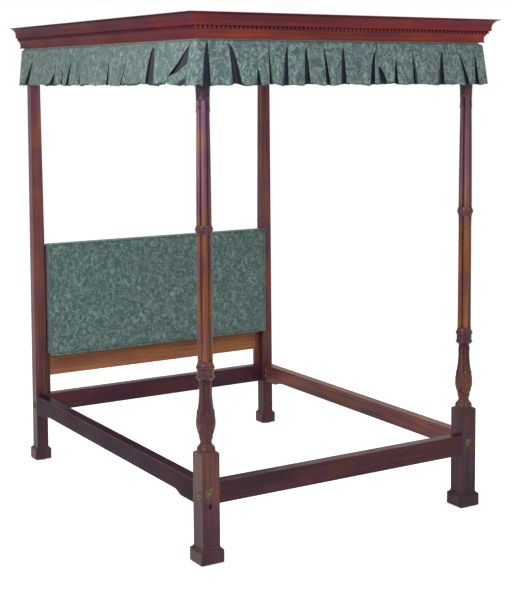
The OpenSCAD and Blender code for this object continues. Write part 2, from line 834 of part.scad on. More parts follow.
module headboard_pad() {
    side_in = welt_d / 3;
    // The cut corner leaves room for the welt
    cut = welt_d + 1.45 * (welt_d / 2 + gap) - side_in;
    face = panel_depth - side_in;
    color(teal) at_panel() difference() {
        loft([
            pad_ring(side_in, gap),
            pad_ring(side_in - 1, panel_depth / 2),
            pad_ring(side_in, panel_depth - cut),
            pad_ring(cut, face),
            for (c = pad_crown) pad_ring(cut + c[0], panel_depth + panel_crown * c[1])
        ]);
        translate([-core_w / 2 - gap, -core_h / 2 - gap, -past])
            cube([core_w + 2 * gap, core_h + 2 * gap, core_t + gap + past]);
    }
}

// The welt follows the panel's front edge
module headboard_welt() {
    r = welt_d / 2;
    x = panel_w / 2 - panel_r;
    y = panel_h / 2 - panel_r;
    bend = panel_r - r;
    color(teal) at_panel() translate([0, 0, panel_depth - r]) {
        for (q = [0 : 3]) {
            cx = q == 0 || q == 3 ? x : -x;
            cy = q < 2 ? y : -y;
            translate([cx, cy, 0]) rotate([0, 0, 90 * q]) rotate_extrude(angle = 90)
                translate([bend, 0]) circle(r, $fn = 24);
        }
        for (s = [-1, 1]) {
            translate([-x, s * (y + bend), 0]) rotate([0, 90, 0]) cylinder(h = 2 * x, r = r, $fn = 24);
            translate([s * (x + bend), y, 0]) rotate([90, 0, 0]) cylinder(h = 2 * y, r = r, $fn = 24);
        }
    }
}

// Flat boards on the posts, halved together at the corners, and their pins

board_out_x = foot_x + frieze_in;
board_foot_y = foot_y - frieze_in;
board_head_y = head_y + frieze_in;
lap = board_t / 2;

module pin_spots() {
    for (side = [left, right]) {
        translate([side * foot_x, foot_y, 0]) children();
        translate([side * head_x, head_y, 0]) children();
    }
}

module board_holes() {
    pin_spots() translate([0, 0, board_z - past]) cylinder(h = board_t + 2 * past, d = pin_d + 2 * fit);
}

module tester_board_side(side) {
    x = side > 0 ? board_out_x - board_w : -board_out_x;
    color(light_wood) difference() {
        translate([x, board_foot_y, board_z]) cube([board_w, board_head_y - board_foot_y, board_t]);
        for (y = [board_foot_y - past, board_head_y - board_w])
            translate([x - past, y, board_z + lap]) cube([board_w + 2 * past, board_w + past, lap + past]);
        board_holes();
    }
}
module tester_board_left() { tester_board_side(left); }
module tester_board_right() { tester_board_side(right); }

module tester_board_end(y) {
    color(light_wood) difference() {
        translate([-board_out_x, y, board_z]) cube([2 * board_out_x, board_w, board_t]);
        for (x = [-board_out_x - past, board_out_x - board_w])
            translate([x, y - past, board_z - past]) cube([board_w + past, board_w + 2 * past, lap + past]);
        board_holes();
    }
}
module tester_board_foot() { tester_board_end(board_foot_y); }
module tester_board_head() { tester_board_end(board_head_y - board_w); }

module tester_pins() {
    color(steel) pin_spots() translate([0, 0, board_z - pin_in_post]) cylinder(h = pin_len, d = pin_d);
}

// Mouldings run along the foot and both sides and meet in mitres; x is outward, y is up

widest_out = frieze_out + crown_out + 10;
inmost_out = frieze_in - 5;

module run_foot() {
    intersection() {
        translate([0, foot_y, 0]) rotate([90, 0, -90])
            linear_extrude(bed_w + 2 * widest_out, center = true) children();
        translate([0, 0, frieze_z - past]) linear_extrude(cornice_h + 2 * past) polygon([
            [-foot_x - inmost_out, foot_y - inmost_out], [-foot_x - widest_out, foot_y - widest_out],
            [foot_x + widest_out, foot_y - widest_out], [foot_x + inmost_out, foot_y - inmost_out]
        ]);
    }
}

module run_side(side) {
    len = bed_l + widest_out + head_overhang + past;
    intersection() {
        mirror([side < 0 ? 1 : 0, 0, 0]) translate([foot_x, foot_y - widest_out, 0])
            rotate([90, 0, 0]) translate([0, 0, -len]) linear_extrude(len) children();
        translate([0, 0, frieze_z - past]) linear_extrude(cornice_h + 2 * past) polygon([
            [side * (foot_x + inmost_out), foot_y - inmost_out],
            [side * (foot_x + widest_out), foot_y - widest_out],
            [side * (foot_x + widest_out), tester_end_y],
            [side * (foot_x + inmost_out), tester_end_y]
        ]);
    }
}

dentil_top = bed_h - crown_h;
bed_mould_z = dentil_top - dentil_h;

// Frieze board with its bed moulding above and a bead at its lower edge
module frieze_profile() {
    mould = ogee(dentil_back, bed_mould_z, 0, bed_mould_z - 20, 5);
    polygon(concat(
        [[frieze_in, frieze_z], [frieze_out, frieze_z]],
        bead(frieze_out, 2.4, frieze_z, 5),
        [for (p = reversed(mould)) [frieze_out + p[0], p[1]]],
        [[frieze_out, bed_mould_z], [frieze_out, bed_h], [frieze_in, bed_h]]
    ));
}

module frieze_foot() { color(light_wood) run_foot() frieze_profile(); }
module frieze_left() { color(light_wood) run_side(left) frieze_profile(); }
module frieze_right() { color(light_wood) run_side(right) frieze_profile(); }

// Crown moulding: a fillet, a hollow under it and a fascia
module crown_profile() {
    lip = 3;
    fascia = crown_out * 0.45;
    hollow_h = crown_h * 0.72;
    polygon(concat(
        [[frieze_out, bed_h - crown_h], [frieze_out, bed_h], [frieze_out + crown_out, bed_h]],
        [for (i = [0 : 8]) let (a = 90 * i / 8) [
            frieze_out + crown_out - (crown_out - fascia) * sin(a),
            bed_h - lip - (hollow_h - lip) * (1 - cos(a)) * 0.82 - (hollow_h - lip) * 0.18 * i / 8
        ]],
        [[frieze_out + fascia, bed_h - crown_h]]
    ));
}

module cornice_foot() { color(mahogany) run_foot() crown_profile(); }
module cornice_left() { color(mahogany) run_side(left) crown_profile(); }
module cornice_right() { color(mahogany) run_side(right) crown_profile(); }

// Dentils: a strip with teeth, spaced so that a tooth stands on each corner
dentil_face = frieze_out + dentil_out;

function comb(length) =
    let (
        count = round((length - dentil_w) / dentil_pitch) + 1,
        pitch = (length - dentil_w) / (count - 1)
    )
    concat(
        [[0, frieze_out]],
        [for (i = [0 : count - 1], p = [
            [0, dentil_face], [dentil_w, dentil_face],
            [dentil_w, frieze_out + dentil_back], [pitch, frieze_out + dentil_back]
        ]) if (i < count - 1 || p[1] == dentil_face) [i * pitch + p[0], p[1]]],
        [[length, frieze_out]]
    );

module dentils_foot() {
    length = bed_w + 2 * dentil_face;
    color(mahogany) intersection() {
        translate([0, foot_y, bed_mould_z]) mirror([0, 1, 0]) linear_extrude(dentil_h)
            translate([-length / 2, 0]) polygon(comb(length));
        run_foot() dentil_band();
    }
}

module dentils_side(side) {
    length = bed_l + dentil_face + head_overhang;
    color(mahogany) intersection() {
        mirror([side < 0 ? 1 : 0, 0, 0]) translate([foot_x, tester_end_y, bed_mould_z])
            rotate([0, 0, -90]) linear_extrude(dentil_h) polygon(comb(length));
        run_side(side) dentil_band();
    }
}
module dentils_left() { dentils_side(left); }
module dentils_right() { dentils_side(right); }

module dentil_band() {
    translate([frieze_out, bed_mould_z]) square([dentil_out, dentil_h]);
}

// Pleated skirt

hem_z = frieze_z - skirt_drop;
tape_z = frieze_z - tape_shows;
skirt_top = tape_z + tape_w - 2;
tape_out = frieze_in - tape_t;
heading_out = tape_out - 0.2;
side_skirt_end = head_y + head_overhang - 10;

// Distance of the skirt's face outside the posts' centres at height z
function skirt_face(z) = z >= tape_z ? heading_out : let (flare_z = tape_z - 15)
    z > flare_z ? heading_out + (skirt_out - heading_out) * (tape_z - z) / 15
    : skirt_out + (hem_out - skirt_out) * (flare_z - z) / (flare_z - hem_z);

// How open the pleats are at height z, from 0 at the tape to 1 at the hem
function opening(z) = clamped((tape_z - z) / (tape_z - hem_z));

// Places of the points across one pleat as parts of its width, and their depth
function pleat_points(z, pitch) = let (o = opening(z), e = max(0.03, pleat_open / 2 / pitch * o)) [
    [0, -pleat_depth * o], [e, 0], [0.3, 1.5 * o], [0.5, 2.5 * o], [0.7, 1.5 * o], [1 - e, 0]
];

// One row of the skirt's face or back as [part of the length, distance outward]
function skirt_row(z, count, length, back) = [
    for (i = [0 : count], p = pleat_points(z, length / count))
        if (i < count || p[0] == 0) [(i + p[0]) / count, skirt_face(z) + p[1] - (back ? skirt_t : 0)]
];

// The foot skirt ends on the corners' mitres
module valance_foot() {
    length = bed_w + 2 * hem_out;
    count = round(length / pleat_pitch);
    function place(p, z) = [(2 * p[0] - 1) * (foot_x + p[1] - gap), foot_y - p[1], z];
    rows = [hem_z, hem_z + skirt_drop * 0.27, hem_z + skirt_drop * 0.6, tape_z - 15, tape_z, skirt_top];
    color(sage) loft([for (z = rows) concat(
        [for (p = skirt_row(z, count, length, false)) place(p, z)],
        [for (p = reversed(skirt_row(z, count, length, true))) place(p, z)]
    )], sheet = true);
}

module valance_side(side) {
    length = side_skirt_end - foot_y + hem_out;
    count = round(length / pleat_pitch);
    function place(p, z) = let (start = foot_y - p[1] + gap) [
        side * (foot_x + p[1]), start + p[0] * (side_skirt_end - start), z
    ];
    rows = [hem_z, hem_z + skirt_drop * 0.45, tape_z - 15, tape_z, skirt_top];
    function ring(z) = concat(
        [for (p = skirt_row(z, count, length, false)) place(p, z)],
        [for (p = reversed(skirt_row(z, count, length, true))) place(p, z)]
    );
    color(sage) loft([for (z = rows) side > 0 ? ring(z) : reversed(ring(z))], sheet = true);
}
module valance_left() { valance_side(left); }
module valance_right() { valance_side(right); }

module valance_tapes() {
    color(pale_tape) {
        translate([-foot_x - tape_out + gap, foot_y - frieze_in, tape_z])
            cube([bed_w + 2 * (tape_out - gap), tape_t, tape_top - tape_z]);
        for (side = [left, right])
            translate([side > 0 ? foot_x + tape_out : -foot_x - frieze_in, foot_y - tape_out + gap, tape_z])
                cube([tape_t, side_skirt_end - foot_y + tape_out - gap, tape_top - tape_z]);
    }
}
tape_top = min(tape_z + tape_w, board_z);

foot_post_left();
foot_post_right();
head_post_left();
head_post_right();
glides();
foot_rail();
head_rail();
side_rail_left();
side_rail_right();
rail_screws();
bed_bolts();
bolt_nuts();
nut_plugs();
cover_screws();
cover_foot_left_end();
cover_foot_left_side();
cover_foot_right_end();
cover_foot_right_side();
cover_head_left_end();
cover_head_left_side();
cover_head_right_end();
cover_head_right_side();
headboard_stile_left();
headboard_stile_right();
headboard_bottom_rail();
headboard_top_rail();
headboard_core();
headboard_pad();
headboard_welt();
headboard_screws();
tester_board_foot();
tester_board_head();
tester_board_left();
tester_board_right();
tester_pins();
frieze_foot();
frieze_left();
frieze_right();
dentils_foot();
dentils_left();
dentils_right();
cornice_foot();
cornice_left();
cornice_right();
valance_foot();
valance_left();
valance_right();
valance_tapes();
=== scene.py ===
import math
from collections import namedtuple

import bmesh
import bpy
import numpy as np
from mathutils import Matrix, Vector


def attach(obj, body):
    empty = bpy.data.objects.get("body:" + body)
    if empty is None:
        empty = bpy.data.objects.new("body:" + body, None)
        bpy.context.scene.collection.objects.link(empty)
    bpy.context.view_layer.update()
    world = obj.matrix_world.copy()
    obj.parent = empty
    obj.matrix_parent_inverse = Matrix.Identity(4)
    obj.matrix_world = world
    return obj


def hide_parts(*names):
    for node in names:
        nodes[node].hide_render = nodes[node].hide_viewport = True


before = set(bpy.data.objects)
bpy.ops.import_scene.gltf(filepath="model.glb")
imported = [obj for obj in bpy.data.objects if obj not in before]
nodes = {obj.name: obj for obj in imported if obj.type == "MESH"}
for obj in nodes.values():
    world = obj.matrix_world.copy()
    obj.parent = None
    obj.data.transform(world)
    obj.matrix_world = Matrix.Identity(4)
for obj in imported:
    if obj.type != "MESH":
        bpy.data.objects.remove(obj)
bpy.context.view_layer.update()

# Sizes in metres that repeat the bed's own. Z stands for a height and R for a radius
FOOT_X, FOOT_Y = 0.7325, -0.9415
SQUARE_TOP, BASE_Z, BULB_Z, BELLY_Z, NECK_Z, COLLAR_Z = 0.494, 0.503, 0.571, 0.632, 0.782, 0.822
SHAFT_Z, RING_Z, RING_TOP, CAPITAL_Z, BELL_Z, ABACUS_Z = 0.907, 1.464, 1.506, 2.045, 2.060, 2.150
BOARD_Z = 2.334
BASE_R, BULB_R, NECK_R, SHAFT_R = 0.041976, 0.044, 0.029, 0.034
RING_R, SHAFT_TOP_R, TOP_NECK_R = 0.033, 0.0285, 0.027
PANEL_W, PANEL_LOW, PANEL_HIGH = 1.403, 0.595, 1.227
PANEL_FRONT, PANEL_BACK = 0.9175, 1.0055
TAPE_Z, SKIRT_TOP, FLARE_Z, HEM_Z = 2.305, 2.328, 2.290, 2.110
HEADING_OUT, FLARE_OUT, HEM_OUT = 0.0404, 0.0565, 0.075
SIDE_SKIRT_END = 1.0485
# Degrees that the posts' carving is turned from square, and the shaft's lobes as shares of the radius round them
TURN = -22.5
LOBE_CENTRE, LOBE_R, LOBE_VALLEY = 0.586, 0.414, 0.535

# Sizes of what only this scene shows: rubbed edges, the carving's relief, the capital's hanging leaves, the pad
RUBBED, LONG_EDGE, SHARP_EDGE = 0.0022, 0.03, math.radians(30)
RELIEF, DROP_RELIEF, DROP = 0.0026, 0.0016, 0.052
WELT_R, PANEL_ROUND = 0.004, 0.015

# Stains in pores and on handled places, old polish and painted shade in hollows, painted shade low down, tints that
# the old polish takes, and a painted bluish reflection
PORE_STAIN, HANDLED_STAIN = (0.012, 0.006, 0.006, 1), (0.02, 0.008, 0.012, 1)
HOLLOW_POLISH_AND_SHADE, LOW_SHADE = (0.016, 0.006, 0.009, 1), (0.012, 0.005, 0.013, 1)
BROWN_TINT, PURPLE_TINT, BLUE_REFLECTION_TINT = (1.32, 1.24, 0.70, 1), (0.88, 0.78, 1.28, 1), (0.80, 1.02, 2.3, 1)


def paint(red, green, blue):
    """A colour as it is seen, turned into the light values that shaders take."""
    return tuple(((c / 255 + 0.055) / 1.055) ** 2.4 if c > 10 else c / 255 / 12.92 for c in (red, green, blue)) + (1,)


# Shader groups for grain, old polish and painted shade in hollows, weave, printed leaves and tarnish

class Bench:
    """Places shader nodes in a tree and joins them."""

    def __init__(self, tree):
        self.tree = tree

    def wire(self, node, *wires):
        """Each socket takes the output of another node, or a value of its own."""
        for socket, source in wires:
            if hasattr(source, "node"):
                self.tree.links.new(source, node.inputs[socket])
            else:
                node.inputs[socket].default_value = source
        return node

    def put(self, kind, *wires, **values):
        node = self.tree.nodes.new(kind)
        for key, value in values.items():
            setattr(node, key, value)
        return self.wire(node, *wires)

    def group(self, tree, *wires):
        return self.put("ShaderNodeGroup", *wires, node_tree=tree).outputs

    def spot(self):
        return self.put("ShaderNodeTexCoord").outputs["Object"]

    def cut(self):
        """Places on a skirt's cloth as it lay flat."""
        return self.put("ShaderNodeUVMap", uv_map="cut").outputs[0]

    def attribute(self, name):
        return self.put("ShaderNodeAttribute", attribute_name=name).outputs["Fac"]

    def axis(self, vector, letter):
        return self.put("ShaderNodeSeparateXYZ", (0, vector)).outputs[letter]

    def calc(self, what, x, y=0.0, clamp=False):
        return self.put("ShaderNodeMath", (0, x), (1, y), operation=what, use_clamp=clamp).outputs[0]

    def times(self, x, y, clamp=False):
        return self.calc("MULTIPLY", x, y, clamp)

    def vector(self, what, *wires):
        return self.put("ShaderNodeVectorMath", *wires, operation=what).outputs[0]

    def noise(self, vector, scale, detail=3.0, rough=0.5, twist=0.0):
        return self.put("ShaderNodeTexNoise", ("Vector", vector), ("Scale", scale), ("Detail", detail),
                        ("Roughness", rough), ("Distortion", twist)).outputs["Fac"]

    def span(self, value, low, high, to_low=0.0, to_high=1.0, shape="LINEAR"):
        return self.put("ShaderNodeMapRange", ("Value", value), ("From Min", low), ("From Max", high),
                        ("To Min", to_low), ("To Max", to_high), interpolation_type=shape).outputs["Result"]

    def blend(self, share, a, b, how="MIX"):
        return self.put("ShaderNodeMix", (0, share), (6, a), (7, b), data_type="RGBA", blend_type=how).outputs[2]

    def stretch(self, vector, scale, place=(0, 0, 0), turn=(0, 0, 0)):
        return self.put("ShaderNodeMapping", ("Vector", vector), ("Location", place), ("Rotation", turn),
                        ("Scale", scale)).outputs[0]


def group(name, inputs, outputs):
    """A shader group with float, colour or vector sockets: its bench, what it is given, and its end."""
    tree = bpy.data.node_groups.new(name, "ShaderNodeTree")
    kinds = {"f": "NodeSocketFloat", "c": "NodeSocketColor", "v": "NodeSocketVector"}
    for title, kind, value in inputs:
        socket = tree.interface.new_socket(title, in_out="INPUT", socket_type=kinds[kind])
        if value is not None:
            socket.default_value = value
    for title, kind in outputs:
        tree.interface.new_socket(title, in_out="OUTPUT", socket_type=kinds[kind])
    return Bench(tree), tree.nodes.new("NodeGroupInput").outputs, tree.nodes.new("NodeGroupOutput")


def grain_group():
    """Figure, pores and a bump for wood whose grain runs along Z of the vector."""
    b, given, end = group("wood grain",
                          [("Vector", "v", None), ("Dark", "c", (0.1, 0.03, 0.02, 1)),
                           ("Light", "c", (0.3, 0.1, 0.06, 1)), ("Pores", "f", 0.5), ("Wear", "f", 0.5)],
                          [("Color", "c"), ("Roughness", "f"), ("Height", "f")])
    place = given["Vector"]
    broad = b.noise(b.stretch(place, (7, 7, 0.9)), 1.0, 3, 0.55, 0.6)
    streaks = b.noise(b.stretch(place, (70, 70, 2.2)), 1.0, 4, 0.6, 0.4)
    pores = b.noise(b.stretch(place, (900, 900, 22)), 1.0, 2, 0.6)
    blotch = b.noise(place, 4.5, 3, 0.6)
    figure = b.span(b.calc("ADD", b.times(broad, 0.5), b.times(streaks, 0.5)), 0.37, 0.63)
    dark_pores = b.times(b.span(pores, 0.56, 0.66), given["Pores"], True)
    handled = b.times(b.span(blotch, 0.42, 0.68), given["Wear"], True)
    colour = b.blend(figure, given["Dark"], given["Light"])
    colour = b.blend(b.times(dark_pores, 0.55), colour, PORE_STAIN)
    colour = b.blend(b.times(handled, 0.45), colour, b.blend(0.5, colour, HANDLED_STAIN))
    rough = b.calc("ADD", b.span(blotch, 0.3, 0.7, 0.30, 0.44), b.times(dark_pores, 0.15))
    height = b.calc("SUBTRACT", b.times(streaks, 0.35), dark_pores)
    b.wire(end, ("Color", colour), ("Roughness", rough), ("Height", height))
    return b.tree


def polish_and_shade_group():
    """Old polish and painted shade in hollows, as deep as the piece's own attribute tells."""
    b, given, end = group("old polish and painted shade in hollows",
                          [("Color", "c", None), ("Hollow", "f", 0.0), ("Vector", "v", None)], [("Color", "c")])
    uneven = b.span(b.noise(given["Vector"], 90, 3, 0.6), 0.3, 0.7, 0.7, 1.15)
    depth = b.times(given["Hollow"], uneven, True)
    b.wire(end, ("Color", b.blend(depth, given["Color"], HOLLOW_POLISH_AND_SHADE)))
    return b.tree


def weave_group():
    """Threads that cross at right angles, from a vector in metres."""
    b, given, end = group("plain weave", [("Vector", "v", None), ("Threads per metre", "f", 900.0)],
                          [("Height", "f")])
    scaled = b.vector("SCALE", (0, given["Vector"]), ("Scale", given["Threads per metre"]))
    warp, weft = (b.calc("ABSOLUTE", b.calc("SINE", b.times(b.axis(scaled, letter), math.pi))) for letter in "XY")
    b.wire(end, ("Height", b.times(warp, weft)))
    return b.tree


def foliage_group():
    """Pale curling leaf marks scattered over a plain ground."""
    b, given, end = group("curled leaf marks",
                          [("Vector", "v", None), ("Ground", "c", (0.05, 0.1, 0.09, 1)),
                           ("Marks", "c", (0.2, 0.27, 0.22, 1)), ("Strength", "f", 0.7), ("Sparse", "f", 0.0)],
                          [("Color", "c"), ("Height", "f")])
    place = given["Vector"]
    bent = b.put("ShaderNodeTexNoise", ("Vector", place), ("Scale", 30.0), ("Detail", 1.0)).outputs["Color"]
    nudge = b.vector("SCALE", (0, b.vector("SUBTRACT", (0, bent), (1, (0.5, 0.5, 0.5)))), ("Scale", 0.055))
    moved = b.vector("ADD", (0, place), (1, nudge))
    leaves = b.noise(b.stretch(moved, (70, 34, 50), turn=(0, 0, 0.7)), 1.0, 1.6, 0.5, 0.5)
    curls = b.noise(b.stretch(moved, (40, 92, 60), (3, 7, 1), (0, 0, -0.5)), 1.0, 1.6, 0.5, 0.8)
    veins = b.noise(moved, 240, 2, 0.6)
    leaves, curls = (b.calc("SUBTRACT", marks, given["Sparse"]) for marks in (leaves, curls))
    marks = b.calc("MAXIMUM", b.span(leaves, 0.46, 0.68), b.times(b.span(curls, 0.50, 0.70), 0.9))
    marks = b.times(marks, b.span(veins, 0.36, 0.60, 0.6, 1.0))
    cloudy = b.span(b.noise(place, 11, 2, 0.5), 0.35, 0.65, 0.7, 1.0)
    marks = b.times(b.times(marks, cloudy), given["Strength"], True)
    b.wire(end, ("Color", b.blend(marks, given["Ground"], given["Marks"])), ("Height", marks))
    return b.tree


def tarnish_group():
    """Brown tarnish and fine scratches on old brass or steel."""
    b, given, end = group("tarnish",
                          [("Vector", "v", None), ("Metal", "c", (0.6, 0.5, 0.25, 1)),
                           ("Tarnish", "c", (0.12, 0.09, 0.05, 1)), ("Amount", "f", 0.5), ("Polish", "f", 0.3)],
                          [("Color", "c"), ("Roughness", "f"), ("Height", "f")])
    place = given["Vector"]
    patches = b.span(b.noise(place, 120, 4, 0.6, 0.5), 0.40, 0.62)
    specks = b.span(b.noise(place, 700, 2, 0.6), 0.56, 0.68)
    amount = b.times(b.calc("MAXIMUM", patches, specks), given["Amount"], True)
    b.wire(end, ("Color", b.blend(amount, given["Metal"], given["Tarnish"])),
           ("Roughness", b.calc("ADD", given["Polish"], b.times(amount, 0.3))),
           ("Height", b.noise(b.stretch(place, (1500, 1500, 200)), 1.0, 2)))
    return b.tree


GRAIN, POLISH_AND_SHADE_IN_HOLLOWS, WEAVE, FOLIAGE, TARNISH = (
    grain_group(), polish_and_shade_group(), weave_group(), foliage_group(), tarnish_group())


# Materials

def start_material(name):
    mat = bpy.data.materials.new(name)
    mat.use_nodes = True
    return mat, Bench(mat.node_tree), mat.node_tree.nodes["Principled BSDF"]


def bump(b, height, strength, depth):
    """A bump, as the wire to a shader's normal."""
    return "Normal", b.put("ShaderNodeBump", ("Height", height), ("Strength", strength),
                           ("Distance", depth)).outputs["Normal"]


# Heights between which the painted bluish reflection sets in, and the share of dim_from below which the painted shade
# is full
REFLECTION_FROM, REFLECTION_TO, DIM_FULL = 1.28, 1.90, 0.28
# Turns that lay the grain of a piece along Z of its pattern
ALONG = {"up": (0, 0, 0), "across": (0, math.pi / 2, 0), "lengthwise": (math.pi / 2, 0, 0)}


def wood(name, dark, light, way, shift=0.0, pores=0.5, wear=0.5, coat=0.02, low_shade=0.0, dim_from=1.25,
         gloss=0.14, top_reflection=0.0, patchy=0.65):
    """Polished wood, with its grain laid one way and begun at a place of its own. It is darkened below dim_from
    with painted shade, which is heaviest low down. Towards the top it turns blue-grey with a painted reflection of
    bluish light. patchy sets how far the tone wanders between brown and purple along a piece."""
    mat, b, shader = start_material(name)
    spot = b.spot()
    place = b.stretch(spot, (1, 1, 1), (shift, shift * 0.7, shift * 1.3), ALONG[way])
    grain = b.group(GRAIN, ("Vector", place), ("Dark", paint(*dark)), ("Light", paint(*light)), ("Pores", pores),
                    ("Wear", wear))
    # Old polish and painted shade darken the hollows
    aged = b.group(POLISH_AND_SHADE_IN_HOLLOWS, ("Color", grain["Color"]), ("Hollow", b.attribute("hollow")), ("Vector", spot))
    tone = b.noise(b.stretch(spot, (4.6, 4.6, 5.6), (shift * 2.3, 4.1, shift)), 1.0, 2, 0.5)
    colour = b.blend(b.span(tone, 0.50, 0.57, 0, patchy), aged["Color"], BROWN_TINT, "MULTIPLY")
    colour = b.blend(b.span(tone, 0.49, 0.42, 0, patchy), colour, PURPLE_TINT, "MULTIPLY")
    # A painted reflection of bluish light, growing towards the top
    if top_reflection:
        high = b.span(b.axis(spot, "Z"), REFLECTION_FROM, REFLECTION_TO, 0, top_reflection, "SMOOTHSTEP")
        colour = b.blend(high, colour, BLUE_REFLECTION_TINT, "MULTIPLY")
    # Painted shade, darker towards the bottom
    if low_shade:
        low = b.span(b.axis(spot, "Z"), dim_from * DIM_FULL, dim_from, low_shade, 0, "SMOOTHSTEP")
        colour = b.blend(low, colour, LOW_SHADE)
    b.wire(shader, ("Base Color", colour), ("Roughness", grain["Roughness"]),
           bump(b, grain["Height"], 0.12, 0.0004), ("Coat Weight", coat), ("Coat Roughness", 0.16),
           ("Specular IOR Level", gloss))
    return mat


def metal(name, colour, stain, amount, polish):
    mat, b, shader = start_material(name)
    old = b.group(TARNISH, ("Vector", b.spot()), ("Metal", paint(*colour)), ("Tarnish", paint(*stain)),
                  ("Amount", amount), ("Polish", polish))
    b.wire(shader, ("Base Color", old["Color"]), ("Roughness", old["Roughness"]),
           bump(b, old["Height"], 0.15, 0.0002), ("Metallic", 1.0))
    return mat


def leafy_cloth(name, ground, marks, strength, sparse, lining=None):
    """Printed cloth. A skirt's cloth has a lining, which shows in its pleats and where its hem is turned up."""
    mat, b, shader = start_material(name)
    flat = b.cut() if lining else b.stretch(b.spot(), (1, 1, 1), turn=(-math.pi / 2, 0, 0))
    printed = b.group(FOLIAGE, ("Vector", flat), ("Ground", paint(*ground)), ("Marks", paint(*marks)),
                      ("Strength", strength), ("Sparse", sparse))
    threads = b.group(WEAVE, ("Vector", flat), ("Threads per metre", 700.0))
    colour = printed["Color"]
    if lining:
        colour = b.blend(b.span(b.attribute("lining"), 0.4, 0.6), colour, paint(*lining))
    height = b.calc("ADD", threads["Height"], b.times(printed["Height"], 0.6))
    b.wire(shader, ("Base Color", colour), bump(b, height, 0.25, 0.0004), ("Roughness", 0.78),
           ("Sheen Weight", 0.15), ("Sheen Roughness", 0.5), ("Specular IOR Level", 0.3))
    return mat


def plain_cloth(name, colour, dusty, by_cut):
    mat, b, shader = start_material(name)
    flat = b.cut() if by_cut else b.spot()
    threads = b.group(WEAVE, ("Vector", flat), ("Threads per metre", 900.0))
    worn = b.span(b.noise(flat, 18, 3, 0.6), 0.35, 0.7)
    b.wire(shader, ("Base Color", b.blend(b.times(worn, 0.5), paint(*colour), paint(*dusty))),
           bump(b, threads["Height"], 0.25, 0.0003), ("Roughness", 0.85))
    return mat


# The foot legs and head posts are painted darker low down, as shade
leg_wood = wood("mahogany of the foot legs", (40, 22, 35), (87, 54, 58), "up", wear=0.9, low_shade=0.5, dim_from=0.26)
head_post_wood = wood("mahogany of the head posts", (55, 28, 37), (110, 65, 67), "up", 2.6, low_shade=0.6,
                      dim_from=0.85)
rail_across = wood("rail mahogany, grain across", (34, 13, 27), (69, 31, 42), "across", 1.7)
# This wood is painted much darker than the right rail's, as shade on the left side rail
rail_long = wood("rail mahogany, grain lengthwise", (27, 10, 24), (50, 23, 39), "lengthwise", 3.1, coat=0,
                 gloss=0.03)
rail_long_red = wood("redder rail mahogany, grain lengthwise", (62, 29, 30), (116, 66, 58), "lengthwise", 3.7)
# The carved posts and shafts take the painted bluish reflection towards the top
carved_wood = wood("mahogany of the carved posts", (50, 26, 30), (94, 57, 50), "up", 0.4, wear=0.35, coat=0.06,
                   top_reflection=1.0)
shaft_wood = wood("mahogany of the clustered shafts", (70, 38, 34), (130, 82, 60), "up", 1.1, wear=0.3, coat=0.05,
                  top_reflection=1.0)
# Lighter edge wood: partly wear, partly a painted highlight where the rubbed edges catch the light
worn_edge_highlight = wood("mahogany worn and painted lighter at the edges", (60, 31, 32), (96, 60, 53), "up", 0.9, pores=0.2, wear=0.2)
cornice_across = wood("cornice mahogany, grain across", (74, 18, 26), (112, 35, 36), "across", 5.3, 0.3, 0.3, 0.06)
# The side cornice is painted darker and more purple than the foot's, as the cooler shade on the sides
cornice_long_shaded = wood("cornice mahogany, grain lengthwise", (58, 12, 28), (86, 21, 36), "lengthwise", 6.1, 0.3, 0.3,
                    0, gloss=0.06)
frieze_across = wood("frieze wood, grain across", (72, 21, 20), (114, 42, 30), "across", 2.3, 0.3, 0.3, 0.04)
# The side frieze is painted darker and more purple than the foot's, as the cooler shade on the sides
frieze_long_shaded = wood("frieze wood, grain lengthwise", (62, 12, 22), (92, 22, 30), "lengthwise", 8.3, 0.3, 0.3, 0,
                   gloss=0.06)
panel_across = wood("headboard frame wood, grain across", (106, 61, 40), (152, 99, 65), "across", 4.3, 0.4, 0.3,
                    patchy=0.3)
panel_up = wood("headboard frame wood, grain up", (72, 36, 31), (118, 68, 53), "up", 4.9, 0.4, 0.3, patchy=0.3)
bare_across = wood("tester board softwood, grain across", (142, 104, 66), (182, 144, 98), "across", 7.3, 0.1, 0.2, 0,
                   patchy=0.2)
bare_long = wood("tester board softwood, grain lengthwise", (140, 102, 66), (180, 142, 98), "lengthwise", 7.9, 0.1,
                 0.2, 0, patchy=0.2)
brass = metal("old brass", (104, 96, 68), (50, 43, 33), 0.85, 0.42)
steel = metal("dull steel", (150, 148, 146), (84, 76, 70), 0.5, 0.38)
bright_steel = metal("bolt steel, rubbed bright", (196, 194, 190), (110, 100, 92), 0.3, 0.22)
zinc = metal("zinc screws", (190, 188, 180), (130, 124, 112), 0.3, 0.4)
skirt_cloth = leafy_cloth("sage printed cloth", (54, 73, 77), (130, 152, 143), 0.82, 0.0, (14, 17, 38))
pad_cloth = leafy_cloth("teal printed cloth", (52, 74, 75), (124, 146, 137), 0.8, 0.01)
navy_lining = plain_cloth("navy lining", (11, 13, 33), (19, 22, 45), True)
tape_cloth = plain_cloth("pale heading tape", (172, 168, 154), (146, 142, 130), False)


# Handling pieces

def apart():
    """Nothing selected, and object mode."""
    if bpy.context.object and bpy.context.object.mode != "OBJECT":
        bpy.ops.object.mode_set(mode="OBJECT")
    bpy.ops.object.select_all(action="DESELECT")


def only(piece):
    apart()
    piece.select_set(True)
    bpy.context.view_layer.objects.active = piece


def new_piece(name, data):
    piece = bpy.data.objects.new(name, data)
    bpy.context.scene.collection.objects.link(piece)
    return piece


def settle(piece):
    """The piece's place goes into its mesh."""
    only(piece)
    bpy.ops.object.transform_apply(location=True, rotation=True, scale=True)


def finish_mods(piece):
    only(piece)
    for mod in list(piece.modifiers):
        bpy.ops.object.modifier_apply(modifier=mod.name)
    return piece


